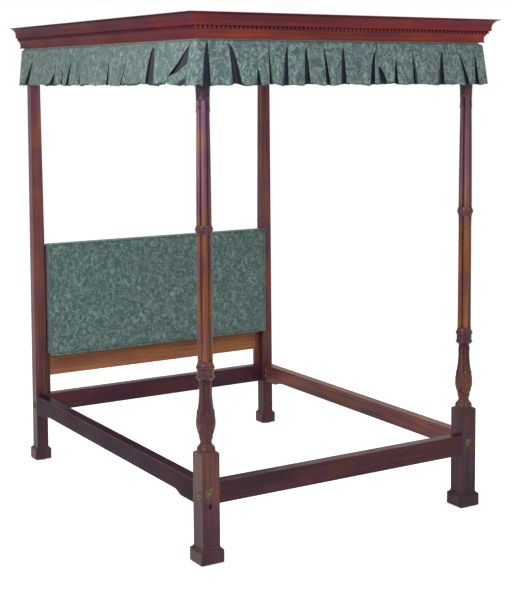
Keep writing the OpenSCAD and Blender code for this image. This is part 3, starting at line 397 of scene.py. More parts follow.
def clean_mesh(piece, cut_above=None, merge_flat=False):
    """Joins double points and turns the faces outward. On the way it can cut the piece off at a height and merge
    faces that lie in one plane."""
    only(piece)
    bpy.ops.object.mode_set(mode="EDIT")
    bpy.ops.mesh.select_all(action="SELECT")
    bpy.ops.mesh.remove_doubles(threshold=0.00001)
    if cut_above is not None:
        bpy.ops.mesh.bisect(plane_co=(0, 0, cut_above), plane_no=(0, 0, 1), clear_outer=True, use_fill=True)
        bpy.ops.mesh.select_all(action="SELECT")
    if merge_flat:
        bpy.ops.mesh.dissolve_limited(angle_limit=math.radians(1.0))
    bpy.ops.mesh.normals_make_consistent(inside=False)
    bpy.ops.object.mode_set(mode="OBJECT")
    return piece


def shade(piece, degrees):
    only(piece)
    bpy.ops.object.shade_smooth_by_angle(angle=math.radians(degrees))
    return piece


def dress(piece, *mats):
    piece.data.materials.clear()
    for mat in mats:
        piece.data.materials.append(mat)


def another(piece, name, offset):
    """A copy of the piece with its own mesh, moved by offset."""
    copy = new_piece(name, piece.data.copy())
    copy.data.transform(Matrix.Translation(offset))
    return copy


def joined(name, pieces):
    apart()
    for p in pieces:
        p.select_set(True)
    bpy.context.view_layer.objects.active = pieces[0]
    bpy.ops.object.join()
    pieces[0].name = name
    return pieces[0]


def weigh_edges(piece, chosen):
    """Gives full bevel weight to the edges that are chosen, and none to the others."""
    mesh = bmesh.new()
    mesh.from_mesh(piece.data)
    layers = mesh.edges.layers.float
    weight = layers.get("bevel_weight_edge") or layers.new("bevel_weight_edge")
    for edge in mesh.edges:
        edge[weight] = 1.0 if chosen(edge) else 0.0
    mesh.to_mesh(piece.data)
    mesh.free()


def bevel(piece, title, width, segments):
    """A bevel along the weighted edges."""
    mod = piece.modifiers.new(title, "BEVEL")
    mod.limit_method, mod.width, mod.segments = "WEIGHT", width, segments
    return mod


def long_corner(edge):
    return (len(edge.link_faces) == 2 and edge.calc_length() > LONG_EDGE
            and edge.calc_face_angle(0) > SHARP_EDGE and edge.is_convex)


def softened(node, name, mat, cut_above=None):
    """A copy of a wooden CAD piece whose long edges are rubbed round."""
    piece = clean_mesh(new_piece(name, nodes[node].data.copy()), cut_above, True)
    weigh_edges(piece, long_corner)
    dress(piece, mat, worn_edge_highlight)
    mod = bevel(piece, "rubbed edges", RUBBED, 2)
    # The rounded edges take the lighter edge wood, which is partly wear and partly a painted highlight
    mod.material, mod.use_clamp_overlap = 1, False
    finish_mods(piece)
    shade(piece, 32)
    mod = piece.modifiers.new("flat faces stay flat", "WEIGHTED_NORMAL")
    mod.keep_sharp, mod.weight = True, 100
    return finish_mods(piece)


# The turned and carved parts of a foot post, made at the left post's place

def turned(name, profile, count):
    """A circle of count points drawn up through a profile of [radius, height] and closed at both ends."""
    apart()
    x, y = -FOOT_X, FOOT_Y
    r, z = profile[0]
    bpy.ops.mesh.primitive_circle_add(vertices=count, radius=r, fill_type="NOTHING", location=(x, y, z))
    piece = bpy.context.object
    piece.name = name
    bpy.ops.object.mode_set(mode="EDIT")
    bpy.ops.mesh.select_all(action="SELECT")
    bpy.ops.mesh.edge_face_add()
    bpy.ops.mesh.select_all(action="SELECT")
    for (r0, z0), (r1, z1) in zip(profile, profile[1:]):
        bpy.ops.mesh.extrude_region_move(TRANSFORM_OT_translate={"value": (0, 0, z1 - z0)})
        bpy.ops.transform.resize(value=(r1 / r0, r1 / r0, 1), center_override=(x, y, z1))
    bpy.ops.object.mode_set(mode="OBJECT")
    settle(piece)
    return clean_mesh(piece)


def blank(name, heights, count):
    """A plain cylinder with a ring at each height, which reshape carves."""
    return turned(name, [(0.03, z) for z in heights], count)


def steps(z0, z1, count):
    return [z0 + (z1 - z0) * i / count for i in range(count + 1)]


def ogee(r0, z0, r1, z1, count=8):
    return [(r0 + (r1 - r0) * (1 - math.cos(math.pi * i / count)) / 2, z0 + (z1 - z0) * i / count)
            for i in range(count + 1)]


def bead(r, out, z, height):
    return [(r + out * math.cos(a), z + height / 2 + height / 2 * math.sin(a))
            for a in (math.radians(-90 + 18 * i) for i in range(11))]


def rising(profile):
    """The profile without points that fall back or repeat."""
    kept = [profile[0]]
    for r, z in profile[1:]:
        if z > kept[-1][1] + 1e-6:
            kept.append((r, z))
    return kept


def clamped(v):
    return max(0.0, min(1.0, v))


def smooth(v):
    c = clamped(v)
    return c * c * (3 - 2 * c)


def bulb_radius(z):
    """Radius of the bulb and of the neck over it, out to the carving's highest places."""
    if z < BELLY_Z:
        rise = clamped((z - BULB_Z) / (BELLY_Z - BULB_Z))
        return NECK_R + 0.002 + (BULB_R - NECK_R - 0.002) * math.sin(math.pi / 2 * rise)
    rise = clamped((z - BELLY_Z + 0.005) / (NECK_Z - BELLY_Z)) ** 0.8
    return NECK_R + (BULB_R - NECK_R) * (1 + math.cos(math.pi * rise)) / 2


def leaf(z, a, z0, z1, half, lobes):
    """Height of a carved leaf, from 0 beside it to 1 or so: lobed edge, middle vein, side veins and curled tip.
    It grows from z0 to z1, which may lie below, and half is its half width in degrees."""
    t = (z - z0) / (z1 - z0)
    if not 0 <= t <= 1:
        return 0.0
    w = half * math.sqrt(max(0.0, 1 - t * t)) * (1 + 0.15 * math.sin(2 * math.pi * lobes * t))
    if w < 0.5 or abs(a) > w:
        return 0.0
    across = abs(a) / w
    groove = (0.5 + 0.5 * math.cos(2 * math.pi * (lobes * t + 0.15 - 0.55 * across))) ** 1.5
    body = smooth((w - abs(a)) / 4.0) * (0.72 + 0.33 * t)
    curl = 0.45 * smooth((t - 0.80) / 0.13) * smooth((w - abs(a)) / 5)
    return body * (1 - 0.5 * groove * smooth(across * 2.4)) + 0.34 * smooth((4.0 - abs(a)) / 3.5) + curl


def from_spine(a, offset=0.0):
    """Degrees from the nearest of four lines up the post, which lie a quarter turn apart."""
    b = (a - offset) % 90
    return b - 90 if b > 45 else b


def bulb_relief(z, a):
    return max(leaf(z, from_spine(a), BULB_Z - 0.004, NECK_Z - 0.092, 41, 4),
               0.8 * leaf(z, from_spine(a, 45), BULB_Z + 0.030, COLLAR_Z - 0.004, 27, 6),
               0.7 * leaf(z, from_spine(a), BULB_Z + 0.060, COLLAR_Z - 0.014, 22, 6))


def bell_relief(z, a):
    return 0.8 * max(leaf(z, from_spine(a), BELL_Z - 0.002, ABACUS_Z + 0.008, 36, 3),
                     0.8 * leaf(z, from_spine(a, 45), BELL_Z + 0.020, ABACUS_Z + 0.014, 30, 3))


def drop_relief(z, a):
    """Leaves that hang from the capital down the shaft's lobes."""
    return max(leaf(z, from_spine(a), CAPITAL_Z + 0.010, CAPITAL_Z - DROP, 34, 3),
               0.7 * leaf(z, from_spine(a, 45), CAPITAL_Z + 0.010, CAPITAL_Z - DROP * 0.6, 22, 2))


def lobe_radius(a):
    """Outline of four touching lobes as a share of the radius round them."""
    f = math.radians(from_spine(a))
    inside = LOBE_R ** 2 - (LOBE_CENTRE * math.sin(f)) ** 2
    return max(LOBE_CENTRE * math.cos(f) + math.sqrt(max(0.0, inside)), LOBE_VALLEY)


def shaft_radius(z):
    if z < RING_Z:
        return SHAFT_R - 0.002 * (z - SHAFT_Z) / (RING_Z - SHAFT_Z)
    t = clamped((z - RING_TOP) / (CAPITAL_Z - RING_TOP))
    return SHAFT_R - 0.0003 - (SHAFT_R - SHAFT_TOP_R) * t ** 1.5


def reshape(piece, radius_at, hollow_at):
    """Moves each point of a turned piece to radius_at(z, angle) and writes how dark its hollow is, in old polish and
    painted shade.
    """
    mark = piece.data.attributes.new("hollow", "FLOAT", "POINT")
    for i, v in enumerate(piece.data.vertices):
        x, y = v.co.x + FOOT_X, v.co.y - FOOT_Y
        r, a = math.hypot(x, y), math.degrees(math.atan2(y, x)) - TURN
        if r > 0.004 and radius_at is not None:
            k = radius_at(v.co.z, a) / r
            v.co.x, v.co.y = x * k - FOOT_X, y * k + FOOT_Y
        mark.data[i].value = hollow_at(v.co.z, a)


def grooves(start, *rows):
    """Old polish and painted shade in the grooves of a turned piece: [how dark, height over start, reach up and down]
    for each of its grooves.
    """
    return lambda z, a: sum(dark * smooth(1 - abs(z - (start + up)) / reach) for dark, up, reach in rows)


def post_turning():
    """Everything of a foot post above its square part, as one piece of wood."""
    base = turned("turned base", rising(
        [(BASE_R - 0.001, BASE_Z)] + bead(BASE_R - 0.001, 0.001, BASE_Z + 0.002, 0.012)
        + ogee(BASE_R - 0.002, BASE_Z + 0.016, NECK_R - 0.002, BASE_Z + 0.036)
        + ogee(NECK_R - 0.003, BASE_Z + 0.044, NECK_R, BASE_Z + 0.055, 4)
        + bead(NECK_R, 0.0025, BASE_Z + 0.058, 0.009) + [(NECK_R, BULB_Z)]), 72)
    reshape(base, None, grooves(BASE_Z, (0.55, 0.040, 0.006), (0.6, 0.0145, 0.002), (0.5, 0.0575, 0.002)))

    # The ground between the bulb's leaves is darkened with old polish and painted shade
    bulb = blank("carved bulb", steps(BULB_Z - 0.002, COLLAR_Z + 0.003, 128), 200)
    reshape(bulb, lambda z, a: bulb_radius(z) - RELIEF + RELIEF * bulb_relief(z, a),
            lambda z, a: 0.85 * smooth(1 - bulb_relief(z, a) * 1.25))

    waist, lip = NECK_R + 0.0084, NECK_R + 0.0098
    collar = turned("collar", rising(
        [(NECK_R + 0.002, COLLAR_Z)] + bead(NECK_R + 0.010, 0.0035, COLLAR_Z + 0.009, 0.007)
        + [(NECK_R + 0.0095, COLLAR_Z + 0.017), (waist, COLLAR_Z + 0.022), (waist, COLLAR_Z + 0.044),
           (lip, COLLAR_Z + 0.050)] + bead(lip, 0.0036, COLLAR_Z + 0.051, 0.011)
        + ogee(lip, COLLAR_Z + 0.063, SHAFT_R, COLLAR_Z + 0.080) + [(SHAFT_R, SHAFT_Z)]), 72)
    reshape(collar, None, grooves(COLLAR_Z, (0.7, 0.0185, 0.004), (0.7, 0.0495, 0.003), (0.6, 0.063, 0.003),
                                  (0.7, 0.006, 0.004)))

    # The valleys between the shaft's lobes, and the ground round the hanging leaves, are darkened with old polish and
    # painted shade
    lower = blank("lower shaft", steps(SHAFT_Z - 0.003, RING_Z + 0.003, 12), 96)
    reshape(lower, lambda z, a: shaft_radius(z) * lobe_radius(a),
            lambda z, a: 0.7 * smooth((abs(from_spine(a)) - 36) / 8))
    upper = blank("upper shaft", steps(RING_TOP - 0.003, CAPITAL_Z - DROP - 0.006, 12)
                  + steps(CAPITAL_Z - DROP, CAPITAL_Z + 0.004, 44), 144)
    reshape(upper, lambda z, a: shaft_radius(z) * lobe_radius(a) + DROP_RELIEF * drop_relief(z, a),
            lambda z, a: max(0.9 * smooth((abs(from_spine(a)) - 33) / 9),
                             0.8 * smooth((z - CAPITAL_Z + DROP * 0.8) / 0.012)
                             * smooth(1 - drop_relief(z, a) * 1.5)))

    ring = turned("mid ring", rising(
        [(RING_R, RING_Z)] + ogee(RING_R, RING_Z + 0.001, RING_R + 0.004, RING_Z + 0.012, 5)
        + bead(RING_R + 0.004, 0.003, RING_Z + 0.015, 0.015)
        + ogee(RING_R + 0.004, RING_Z + 0.033, SHAFT_R + 0.0003, RING_TOP, 5)), 72)
    reshape(ring, None, grooves(RING_Z, (0.75, 0.0135, 0.002), (0.75, 0.0315, 0.002)))

    r = SHAFT_TOP_R
    necking = turned("capital bead", rising(
        [(r, CAPITAL_Z)] + bead(r, 0.002, CAPITAL_Z + 0.001, 0.013) + [(r, BELL_Z + 0.001)]), 64)
    bell = blank("capital bell", steps(BELL_Z - 0.0026, ABACUS_Z + 0.0032, 56), 144)
    reshape(bell, lambda z, a: r + 0.0015 + 0.009 * clamped((z - BELL_Z) / (ABACUS_Z - BELL_Z)) ** 2.2
            - RELIEF * 0.6 + RELIEF * bell_relief(z, a), lambda z, a: 0.85 * smooth(1 - bell_relief(z, a) * 1.3))
    top = turned("capital edge and neck", rising(
        [(r + 0.009, ABACUS_Z)] + bead(r + 0.011, 0.002, ABACUS_Z + 0.002, 0.008)
        + [(r + 0.009, ABACUS_Z + 0.012), (TOP_NECK_R + 0.0005, ABACUS_Z + 0.0125), (TOP_NECK_R, ABACUS_Z + 0.014)]
        + [(TOP_NECK_R, z) for z in steps(ABACUS_Z + 0.04, BOARD_Z, 4)]), 64)

    for part in (base, bulb, collar, ring, necking, bell, top):
        dress(part, carved_wood)
    for part in (lower, upper):
        dress(part, shaft_wood)
    return joined("foot_post_left_turning", [base, bulb, collar, lower, upper, ring, necking, bell, top])


def foot_posts():
    turning = shade(post_turning(), 40)
    twin = another(turning, "foot_post_right_turning", (2 * FOOT_X, 0, 0))
    for side, top in (("left", turning), ("right", twin)):
        leg = softened(f"foot_post_{side}", f"foot_post_{side}_leg", leg_wood, SQUARE_TOP + 0.0095)
        post = joined(f"carved_foot_post_{side}", [leg, top])
        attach(post, "bed")
        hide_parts(f"foot_post_{side}")


foot_posts()


# Plain wooden pieces with rubbed edges, and pieces that show their CAD shape

for name, mat in (("head_post_left", head_post_wood), ("head_post_right", head_post_wood),
                  ("foot_rail", rail_across), ("head_rail", rail_across),
                  ("side_rail_left", rail_long), ("side_rail_right", rail_long_red)):
    piece = softened(name, f"rubbed_{name}", mat)
    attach(piece, "bed")
    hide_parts(name)

for mat, names in (
        (brass, [name for name in nodes if name.startswith("cover_")]), (bright_steel, ["bed_bolts"]),
        (steel, ["glides", "bolt_nuts", "headboard_screws", "tester_pins"]), (zinc, ["rail_screws"]),
        (rail_long, ["nut_plugs"]), (panel_up, ["headboard_stile_left", "headboard_stile_right"]),
        (panel_across, ["headboard_bottom_rail", "headboard_top_rail"]),
        (bare_across, ["headboard_core", "tester_board_foot", "tester_board_head"]),
        (bare_long, ["tester_board_left", "tester_board_right"]), (frieze_across, ["frieze_foot"]),
        (frieze_long_shaded, ["frieze_left", "frieze_right"]), (cornice_across, ["dentils_foot", "cornice_foot"]),
        (cornice_long_shaded, ["dentils_left", "dentils_right", "cornice_left", "cornice_right"]),
        (tape_cloth, ["valance_tapes"])):
    for name in names:
        dress(nodes[name], mat)


# The skirt: one pleated cloth to each side, lined in navy

# Depth of a closed pleat, cloth taken up by each pleat, and how far the edges curl forward at the hem
PLEAT_DEEP, TAKEN_UP, CURL = 0.0036, 0.07, 0.0036
# Depths of the cloth's broad bulge, of its wave and of its ripples at the hem
BULGE, WAVE, RIPPLE = 0.0075, 0.0042, 0.0022
# Gaps between points along the cloth, across the back of a pleat and across a flap, and beside a slit
POINT_GAP, BACK_GAP, FLAP_GAP, SLIT_GAP = 0.011, 0.009, 0.0035, 0.003
# Distance outward at which a panel's points are counted, and thickness of the lining
COUNT_OUT, LINING = 0.06, 0.0008
# Rows of points above the flare, and how many there are below it, without a flap and with one
HEADING_ROWS, ROWS_DOWN, FLAP_ROWS_DOWN = [SKIRT_TOP, 2.316, TAPE_Z, 2.3035, 2.3, 2.295], 22, 48
# A pleat that has opened: place and height of its top, left and right edge at the hem, and a power that is below 1
# where it opens wide just under its top
Slit = namedtuple("Slit", "top top_z left right opening", defaults=(1,))


def skirt_out(z):
    """Distance of the cloth's face outside the posts' centres."""
    if z >= TAPE_Z:
        return HEADING_OUT
    if z > FLARE_Z:
        flare = math.sin(math.pi / 2 * ((TAPE_Z - z) / (TAPE_Z - FLARE_Z)) ** 0.6)
        return HEADING_OUT + (FLARE_OUT - HEADING_OUT) * flare
    return FLARE_OUT + (HEM_OUT - FLARE_OUT) * (FLARE_Z - z) / (FLARE_Z - HEM_Z)


def fall(z):
    """0 at the tape and above, 1 at the hem."""
    return clamped((TAPE_Z - z) / (TAPE_Z - HEM_Z))


def slit_edges(slit, z):
    open_share = clamped((slit.top_z - z) / (slit.top_z - HEM_Z)) ** slit.opening
    return (slit.top + (slit.left - slit.top) * open_share - 0.0003,
            slit.top + (slit.right - slit.top) * open_share + 0.0003)


def skirt_rows(start, end, slits, flaps, seed):
    """The heights of a skirt's rows, and for each row its points: [place along it, place outward, 1 where the
    lining shows, lift, place along the flat cloth]."""
    rng = np.random.default_rng(seed)
    last = len(slits)
    bulges = rng.uniform(0.4, 1.0, (last + 1, 3))
    waves = rng.uniform(0, 6.28, (last + 1, 2))
    tilts, curls = rng.uniform(-0.004, 0.004, last + 1), rng.uniform(-0.6, 1.0, (last + 1, 2))
    tops = [start(COUNT_OUT)] + [slit.top for slit in slits] + [end(COUNT_OUT)]
    counts = [max(4, int(round(b - a, 3) / POINT_GAP)) for a, b in zip(tops, tops[1:])]

    def panel(k, a, b, out, t):
        """The cloth from a to b, between slit k - 1 and slit k."""
        points = []
        for i in range(counts[k] + 1):
            u = i / counts[k]
            s = a + (b - a) * u
            fold = t ** 1.3 * (BULGE * bulges[k][0] * math.sin(math.pi * u)
                               + WAVE * bulges[k][1] * math.sin(2 * math.pi * u * (1 + (k % 2)) + waves[k][0])
                               + RIPPLE * bulges[k][2] * math.sin(6 * math.pi * u + waves[k][1]))
            fold += CURL * t * t * (curls[k][0] * math.exp(-(u / 0.14) ** 2)
                                    + curls[k][1] * math.exp(-((1 - u) / 0.14) ** 2))
            ends = min(1.0, u * 6 if k == 0 else 1.0, (1 - u) * 6 if k == last else 1.0)
            points.append((s, out + fold * ends, 0, t * tilts[k] * (2 * u - 1) * ends, s + TAKEN_UP * k))
        return points

    def pleat(k, left, right, room, out, t):
        """The lined cloth inside slit k: round its left edge, across the back and round its right edge."""
        wide = right - left
        deep = PLEAT_DEEP + t * (0.0085 + 0.16 * min(wide, 0.05))
        under = max(0.001, min(0.022, 0.36 * room))

        def edge(at, way, curl, tip):
            """Points from the face to the back, under the cloth beside the slit."""
            front = out + CURL * t * t * curl
            return [(at - 0.0006 * way, front - 0.0003, 0, tip), (at, front - 0.0009, 1, tip),
                    (at - 0.0012 * way, front - 0.0018, 1, tip),
                    (at - 0.5 * under * way, out - 0.0018 - 0.3 * (deep - PLEAT_DEEP), 1, tip / 2),
                    (at - under * way, out - 0.5 * deep, 1, 0), (at - under * way, out - deep, 1, 0)]

        points = edge(left, 1, curls[k][1], t * tilts[k])
        across = max(5, int((slits[k].right - slits[k].left) / (FLAP_GAP if k in flaps else BACK_GAP)))
        for i in range(1, across + 1):
            u = i / (across + 1)
            belly = 0.0015 * t * math.sin(2 * math.pi * u + waves[k][0])
            forward = 0
            if k in flaps:
                forward = smooth((t - 0.38 - 0.44 * u) / 0.10) * smooth((1 - u) * 5)
                forward *= 1 - smooth((t - 0.74 - 0.42 * u) / 0.06)
            lift_up = 0.004 * forward * smooth((t - 0.8) / 0.2) * math.sin(3 * math.pi * u)
            points.append((left - under + (wide + 2 * under) * u, out - deep + belly + (deep + 0.003) * forward,
                           1 - forward, lift_up))
        points += reversed(edge(right, -1, curls[k + 1][0], -t * tilts[k + 1]))
        return [point + (left + TAKEN_UP * k + (wide + TAKEN_UP) * (i + 0.5) / len(points),)
                for i, point in enumerate(points)]

    rows = HEADING_ROWS + steps(FLARE_Z, HEM_Z, FLAP_ROWS_DOWN if flaps else ROWS_DOWN)
    runs = []
    for z in rows:
        t, out = fall(z), skirt_out(z)
        low, high = start(out), end(out)
        cuts = [(low, low)] + [slit_edges(slit, z) for slit in slits] + [(high, high)]
        points = []
        for k in range(last + 1):
            left, right = cuts[k + 1]
            a, b = cuts[k][1] + (SLIT_GAP if k else 0), left - (SLIT_GAP if k < last else 0)
            points += panel(k, a, b, out, t)
            if k < last:
                room = min(left - cuts[k][1], cuts[k + 2][0] - right)
                points += pleat(k, left, right, room, out, t)
        runs.append(points)
    return rows, runs


def pleated_skirt(name, node, start, end, slits, place, seed, lift=(), turned_hem=(), flaps=()):
    """A skirt between start and end, which are functions of the distance outward. A flap is the number of a slit
    in which the cloth behind has curled forward at the hem. place(s, out, z) puts a point."""
    rows, runs = skirt_rows(start, end, slits, flaps, seed)

    def hem_drop(s):
        drop = 0.0022 * math.sin(s * 31 + seed) + 0.0016 * math.sin(s * 67 + 2 * seed)
        return drop + sum(h * math.exp(-((s - c) / w) ** 2) for c, w, h in lift)

    def rolled(s, z):
        """1 where the hem is turned up and shows its lining."""
        return max([smooth((HEM_Z + h - z) / 0.004 + 0.5) * smooth(min(s - a, b - s) / 0.012)
                    for a, b, h in turned_hem], default=0)

    verts, uvs, lined = [], [], []
    for z, points in zip(rows, runs):
        for s, out, kind, lift_up, flat_s in points:
            verts.append(place(s, out, z + fall(z) * hem_drop(s) + lift_up))
            uvs.append((flat_s, z))
            lined.append(max(kind, rolled(s, z)))
    hem = runs[-1]
    n = len(hem)
    faces = [(j * n + i, (j + 1) * n + i, (j + 1) * n + i + 1, j * n + i + 1)
             for j in range(len(rows) - 1) for i in range(n - 1)]
    mesh = bpy.data.meshes.new(name)
    mesh.from_pydata(verts, [], faces)
    piece = new_piece(name, mesh)
    dress(piece, skirt_cloth, navy_lining)
    layer = mesh.uv_layers.new(name="cut")
    for loop, corner in zip(layer.data, mesh.loops):
        loop.uv = uvs[corner.vertex_index]
    mesh.attributes.new("lining", "FLOAT", "POINT").data.foreach_set("value", np.array(lined, np.float32))
    only(piece)
    # The face must look outward before the lining is added behind it
    outward = Vector(place(0, 1, 2)) - Vector(place(0, 0, 2))
    if mesh.polygons[0].normal.dot(outward) < 0:
        mesh.flip_normals()
    mod = piece.modifiers.new("lining", "SOLIDIFY")
    mod.thickness, mod.offset, mod.material_offset = LINING, -1.0, 1
    mod.material_offset_rim = 0
    finish_mods(piece)
    for poly in piece.data.polygons:
        poly.use_smooth = True
    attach(piece, "bed")
    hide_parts(node)


def mm(rows):
    return [tuple(v / 1000 for v in row) for row in rows]


foot_slits = [Slit(*row) for row in mm([
    (-738, 2297, -770, -732), (-636, 2289, -623, -579), (-495, 2186, -504, -480), (-434, 2285, -437, -428),
    (-334, 2281, -368, -340), (-239, 2272, -255, -226), (-142, 2276, -140, -116), (-38, 2280, -57, -30),
    (147, 2268, 101, 127), (152, 2190, 158, 199), (258, 2227, 243, 260), (355, 2272, 354, 369), (535, 2268, 506, 535),
    (632, 2262, 672, 696), (734, 2258, 727, 751)])]
foot_slits = [slit._replace(opening=0.5 if slit.right - slit.left > 0.025 else 0.8) for slit in foot_slits]
left_slits = [Slit(*row) for row in mm([
    (-933, 2287, -916, -707), (-592, 2278, -614, -528), (-318, 2228, -282, -258), (-122, 2244, -126, -110),
    (225, 2177, 214, 234), (336, 2248, 352, 396), (436, 2198, 428, 456), (548, 2172, 546, 630),
    (872, 2246, 900, 968)])]
left_slits[1] = left_slits[1]._replace(opening=0.4)
right_slits = [Slit(*row) for row in mm([
    (-868, 2278, -880, -850), (-742, 2262, -748, -728), (-604, 2283, -622, -588), (-470, 2251, -474, -452),
    (-338, 2274, -352, -318), (-196, 2240, -204, -186), (-62, 2280, -80, -44), (78, 2256, 70, 92),
    (214, 2277, 200, 236), (352, 2262, 346, 366), (490, 2281, 474, 506), (628, 2236, 622, 640),
    (764, 2272, 750, 784), (900, 2262, 892, 914)])]

pleated_skirt(
    "pleated_skirt_foot", "valance_foot", lambda out: -(FOOT_X + out) + 0.0006, lambda out: FOOT_X + out - 0.0006,
    foot_slits, lambda s, out, z: (s, FOOT_Y - out, z),
    lift=mm([(215, 60, 9), (-600, 25, 4), (560, 60, -2)]),
    turned_hem=mm([(-620, -560, 8), (-300, -262, 6)]), seed=2)
pleated_skirt(
    "pleated_skirt_left", "valance_left", lambda out: FOOT_Y - out + 0.0006, lambda out: SIDE_SKIRT_END,
    left_slits, lambda s, out, z: (-(FOOT_X + out), s, z),
    lift=mm([(-760, 60, 6), (-480, 40, 4), (640, 40, -3)]),
    turned_hem=mm([(-706, -560, 10), (-500, -300, 8), (560, 660, 14), (100, 230, 6)]), flaps=(0,), seed=5)
pleated_skirt(
    "pleated_skirt_right", "valance_right", lambda out: FOOT_Y - out + 0.0006, lambda out: SIDE_SKIRT_END,
    right_slits, lambda s, out, z: (FOOT_X + out, s, z), seed=9)


# The headboard's pad and welt

PANEL_MID, HALF_W, HALF_H = (PANEL_LOW + PANEL_HIGH) / 2, PANEL_W / 2, (PANEL_HIGH - PANEL_LOW) / 2
PAD_FRONT, PAD_BACK, PAD_INSET = PANEL_FRONT + 0.002, PANEL_BACK - 0.0003, WELT_R * 2 / 3
# Rounding of the pad's front edge, height of its crown and depth of its puckers
PAD_EDGE, CROWN, PUCKER = 0.007, 0.0065, 0.0006
# Places behind the front from which the cover is held, and held firmly, and the room left at the pad's edges
HELD_FROM, FIRM_FROM, EDGE_ROOM = PAD_FRONT + 0.012, PAD_FRONT + 0.03, 0.0012
MESH_GAP, QUICK_GAP = 0.0065, 0.009
# Pressure and frames of the cloth simulation, and the most that it may move a point out, in and aside
PRESSURE, FRAMES = 4.0, 12
MOST_OUT, MOST_IN, MOST_ASIDE = 0.0035, 0.002, 0.002


def pad_block():
    """The pad's block, with round corners, a soft front edge and an even mesh."""
    apart()
    bpy.ops.mesh.primitive_cube_add(size=1, location=(0, (PAD_FRONT + PAD_BACK) / 2, PANEL_MID))
    piece = bpy.context.object
    piece.name = "headboard_padding"
    piece.scale = (PANEL_W - 2 * PAD_INSET, PAD_BACK - PAD_FRONT, PANEL_HIGH - PANEL_LOW - 2 * PAD_INSET)
    settle(piece)
    weigh_edges(piece, lambda edge: abs(edge.verts[1].co.y - edge.verts[0].co.y) > 0.01)
    bevel(piece, "round corners", PANEL_ROUND - PAD_INSET, 8)
    finish_mods(piece)
    weigh_edges(piece, lambda edge: all(abs(v.co.y - PAD_FRONT) < 1e-5 for v in edge.verts))
    bevel(piece, "soft front edge", PAD_EDGE, 4)
    finish_mods(piece)
    mod = piece.modifiers.new("even mesh", "REMESH")
    mod.mode, mod.voxel_size = "VOXEL", MESH_GAP
    return finish_mods(piece)


def points_of(mesh):
    places = np.zeros(len(mesh.vertices) * 3, np.float32)
    mesh.vertices.foreach_get("co", places)
    return places.reshape(-1, 3)


def swelling(piece, rest):
    """How far each point moves when the cover is filled with pressure and held at its back."""
    held = piece.vertex_groups.new(name="held")
    for i, y in enumerate(rest[:, 1]):
        if y > HELD_FROM:
            held.add([i], 1.0 if y > FIRM_FROM else 0.6, "REPLACE")
    mod = piece.modifiers.new("swell", "CLOTH")
    cloth = mod.settings
    cloth.use_pressure, cloth.uniform_pressure_force = True, PRESSURE
    cloth.effector_weights.gravity = 0
    cloth.vertex_group_mass = "held"
    cloth.quality = 4
    mod.collision_settings.use_collision = False
    scene = bpy.context.scene
    for f in range(1, FRAMES + 1):
        scene.frame_set(f)
    moved = points_of(piece.evaluated_get(bpy.context.evaluated_depsgraph_get()).data)
    piece.modifiers.clear()
    scene.frame_set(1)
    return moved - rest


def panel_pad():
    """A padded panel that swells a little in front, flat where it lies on its frame."""
    piece = pad_block()
    rest = points_of(piece.data)
    shift = swelling(piece, rest)
    # The cover is pulled tight, so the swelling is capped and even
    x = np.clip(1 - (np.abs(rest[:, 0]) / HALF_W) ** 6, 0, 1)
    z = np.clip(1 - (np.abs(rest[:, 2] - PANEL_MID) / HALF_H) ** 4, 0, 1)
    face = np.clip((HELD_FROM - rest[:, 1]) / 0.008, 0, 1)
    puckers = PUCKER * np.sin(rest[:, 0] * 41 + 1.3 * np.sin(rest[:, 2] * 19)) * np.sin(rest[:, 2] * 53)
    crown = (CROWN * x * z + puckers * x * z) * face
    shift[:, 1] = np.clip(shift[:, 1], -MOST_OUT, MOST_IN) * face
    for axis in (0, 2):
        shift[:, axis] = np.clip(shift[:, axis], -MOST_ASIDE, MOST_ASIDE)
    placed = rest + shift
    placed[:, 1] = np.minimum(placed[:, 1] - crown, PAD_BACK)
    limit_x, limit_z = HALF_W - EDGE_ROOM, HALF_H - EDGE_ROOM
    placed[:, 0] = np.clip(placed[:, 0], -limit_x, limit_x)
    placed[:, 2] = PANEL_MID + np.clip(placed[:, 2] - PANEL_MID, -limit_z, limit_z)
    piece.data.vertices.foreach_set("co", placed.astype(np.float32).ravel())
    piece.data.update()
    mod = piece.modifiers.new("relax", "SMOOTH")
    mod.factor, mod.iterations = 0.5, 3
    finish_mods(piece)
    dress(piece, pad_cloth)
    shade(piece, 60)
    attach(piece, "bed")
    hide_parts("headboard_pad")


def panel_welt():
    """A covered cord sewn round the panel's front edge."""
    path = bpy.data.curves.new("welt_line", "CURVE")
    path.dimensions = "3D"
    path.bevel_depth, path.bevel_resolution = WELT_R, 5
    bend = PANEL_ROUND - WELT_R
    cx, cz = HALF_W - PANEL_ROUND, HALF_H - PANEL_ROUND
    line = []
    for q, (sx, sz, next_x, next_z) in enumerate((
            (1, -1, cx + bend, cz), (1, 1, -cx, cz + bend), (-1, 1, -cx - bend, -cz), (-1, -1, cx, -cz - bend))):
        for i in range(13):
            a = math.radians(90 * (q - 1) + 90 * i / 12)
            line.append((sx * cx + bend * math.cos(a), sz * cz + bend * math.sin(a)))
        x, z = line[-1]
        line += [(x + (next_x - x) * i / 40, z + (next_z - z) * i / 40) for i in range(1, 40)]
    spline = path.splines.new("POLY")
    spline.points.add(len(line) - 1)
    for i, (x, z) in enumerate(line):
        wander = 0.0003 * math.sin(i * 0.9)
        spline.points[i].co = (x, PANEL_FRONT + WELT_R + wander, PANEL_MID + z, 1)
    spline.use_cyclic_u = True
    only(new_piece("headboard_piping", path))
    bpy.ops.object.convert(target="MESH")
    piece = bpy.context.object
    dress(piece, pad_cloth)
    shade(piece, 60)
    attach(piece, "bed")
    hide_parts("headboard_welt")


panel_pad()
panel_welt()


# Floor, light and camera

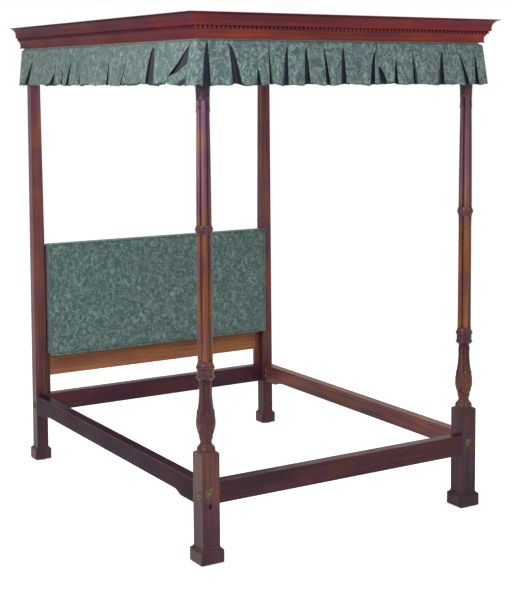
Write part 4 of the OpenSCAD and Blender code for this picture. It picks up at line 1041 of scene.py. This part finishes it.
def seen_straight(b):
    """1 for what the camera sees, also by a mirror's way or through glass, and 0 for light that bounces on."""
    path = b.put("ShaderNodeLightPath").outputs
    return b.calc("ADD", b.calc("ADD", path["Is Camera Ray"], path["Is Glossy Ray"]),
                  path["Is Transmission Ray"], True)


def white_floor():
    apart()
    bpy.ops.mesh.primitive_plane_add(size=60, location=(0, 0, 0))
    floor = bpy.context.object
    floor.name = "studio_floor"
    mat, b, shader = start_material("pale floor")
    b.wire(shader, ("Base Color", (0.86, 0.86, 0.86, 1)), ("Roughness", 0.9), ("Specular IOR Level", 0.1),
           ("Emission Color", (1, 1, 1, 1)), ("Emission Strength", b.times(seen_straight(b), 0.56)))
    dress(floor, mat)


def studio():
    world = bpy.data.worlds.new("white studio")
    bpy.context.scene.world = world
    world.use_nodes = True
    b = Bench(world.node_tree)
    b.wire(world.node_tree.nodes["Background"], ("Color", (1, 1, 1, 1)),
           ("Strength", b.span(seen_straight(b), 0, 1, 0.52, 1.0)))
    for name, place, aim, size, power in (
            ("key light", (1.6, -5.4, 4.2), (0, -0.4, 1.1), 2.0, 104),
            ("fill light", (-3.4, -2.2, 3.3), (-0.4, 0.0, 1.5), 2.0, 175),
            ("top light", (0.5, 1.0, 5.2), (0, 0, 0.6), 3.0, 60)):
        lamp = bpy.data.lights.new(name, "AREA")
        lamp.energy, lamp.size = power, size
        lamp.color = (1.0, 0.98, 0.95)
        one = new_piece(name, lamp)
        one.location = place
        one.visible_camera = False
        one.rotation_mode = "QUATERNION"
        one.rotation_quaternion = (Vector(aim) - Vector(place)).to_track_quat("-Z", "Y")


def photographer():
    """The camera as solved from the photograph, but with part of its lens shift taken as a look down."""
    view = bpy.data.cameras.new("view from the foot and the left")
    view.lens, view.sensor_width, view.sensor_fit = 80.486, 36, "AUTO"
    view.shift_x, view.shift_y = -0.06533, -0.16159
    view.clip_start, view.clip_end = 0.1, 200
    camera = new_piece("view from the foot and the left", view)
    right, up, back = ((0.844047, -0.536259, -0.003219), (0.050734, 0.073875, 0.995976),
                       (-0.533864, -0.840814, 0.089561))
    turn = Matrix([[right[i], up[i], back[i]] for i in range(3)])
    camera.rotation_mode = "QUATERNION"
    camera.rotation_quaternion = turn.to_quaternion()
    camera.location = (-3.46115, -5.97499, 2.12723)
    bpy.context.scene.camera = camera


white_floor()
studio()
photographer()
bpy.context.scene.view_settings.view_transform = "Standard"
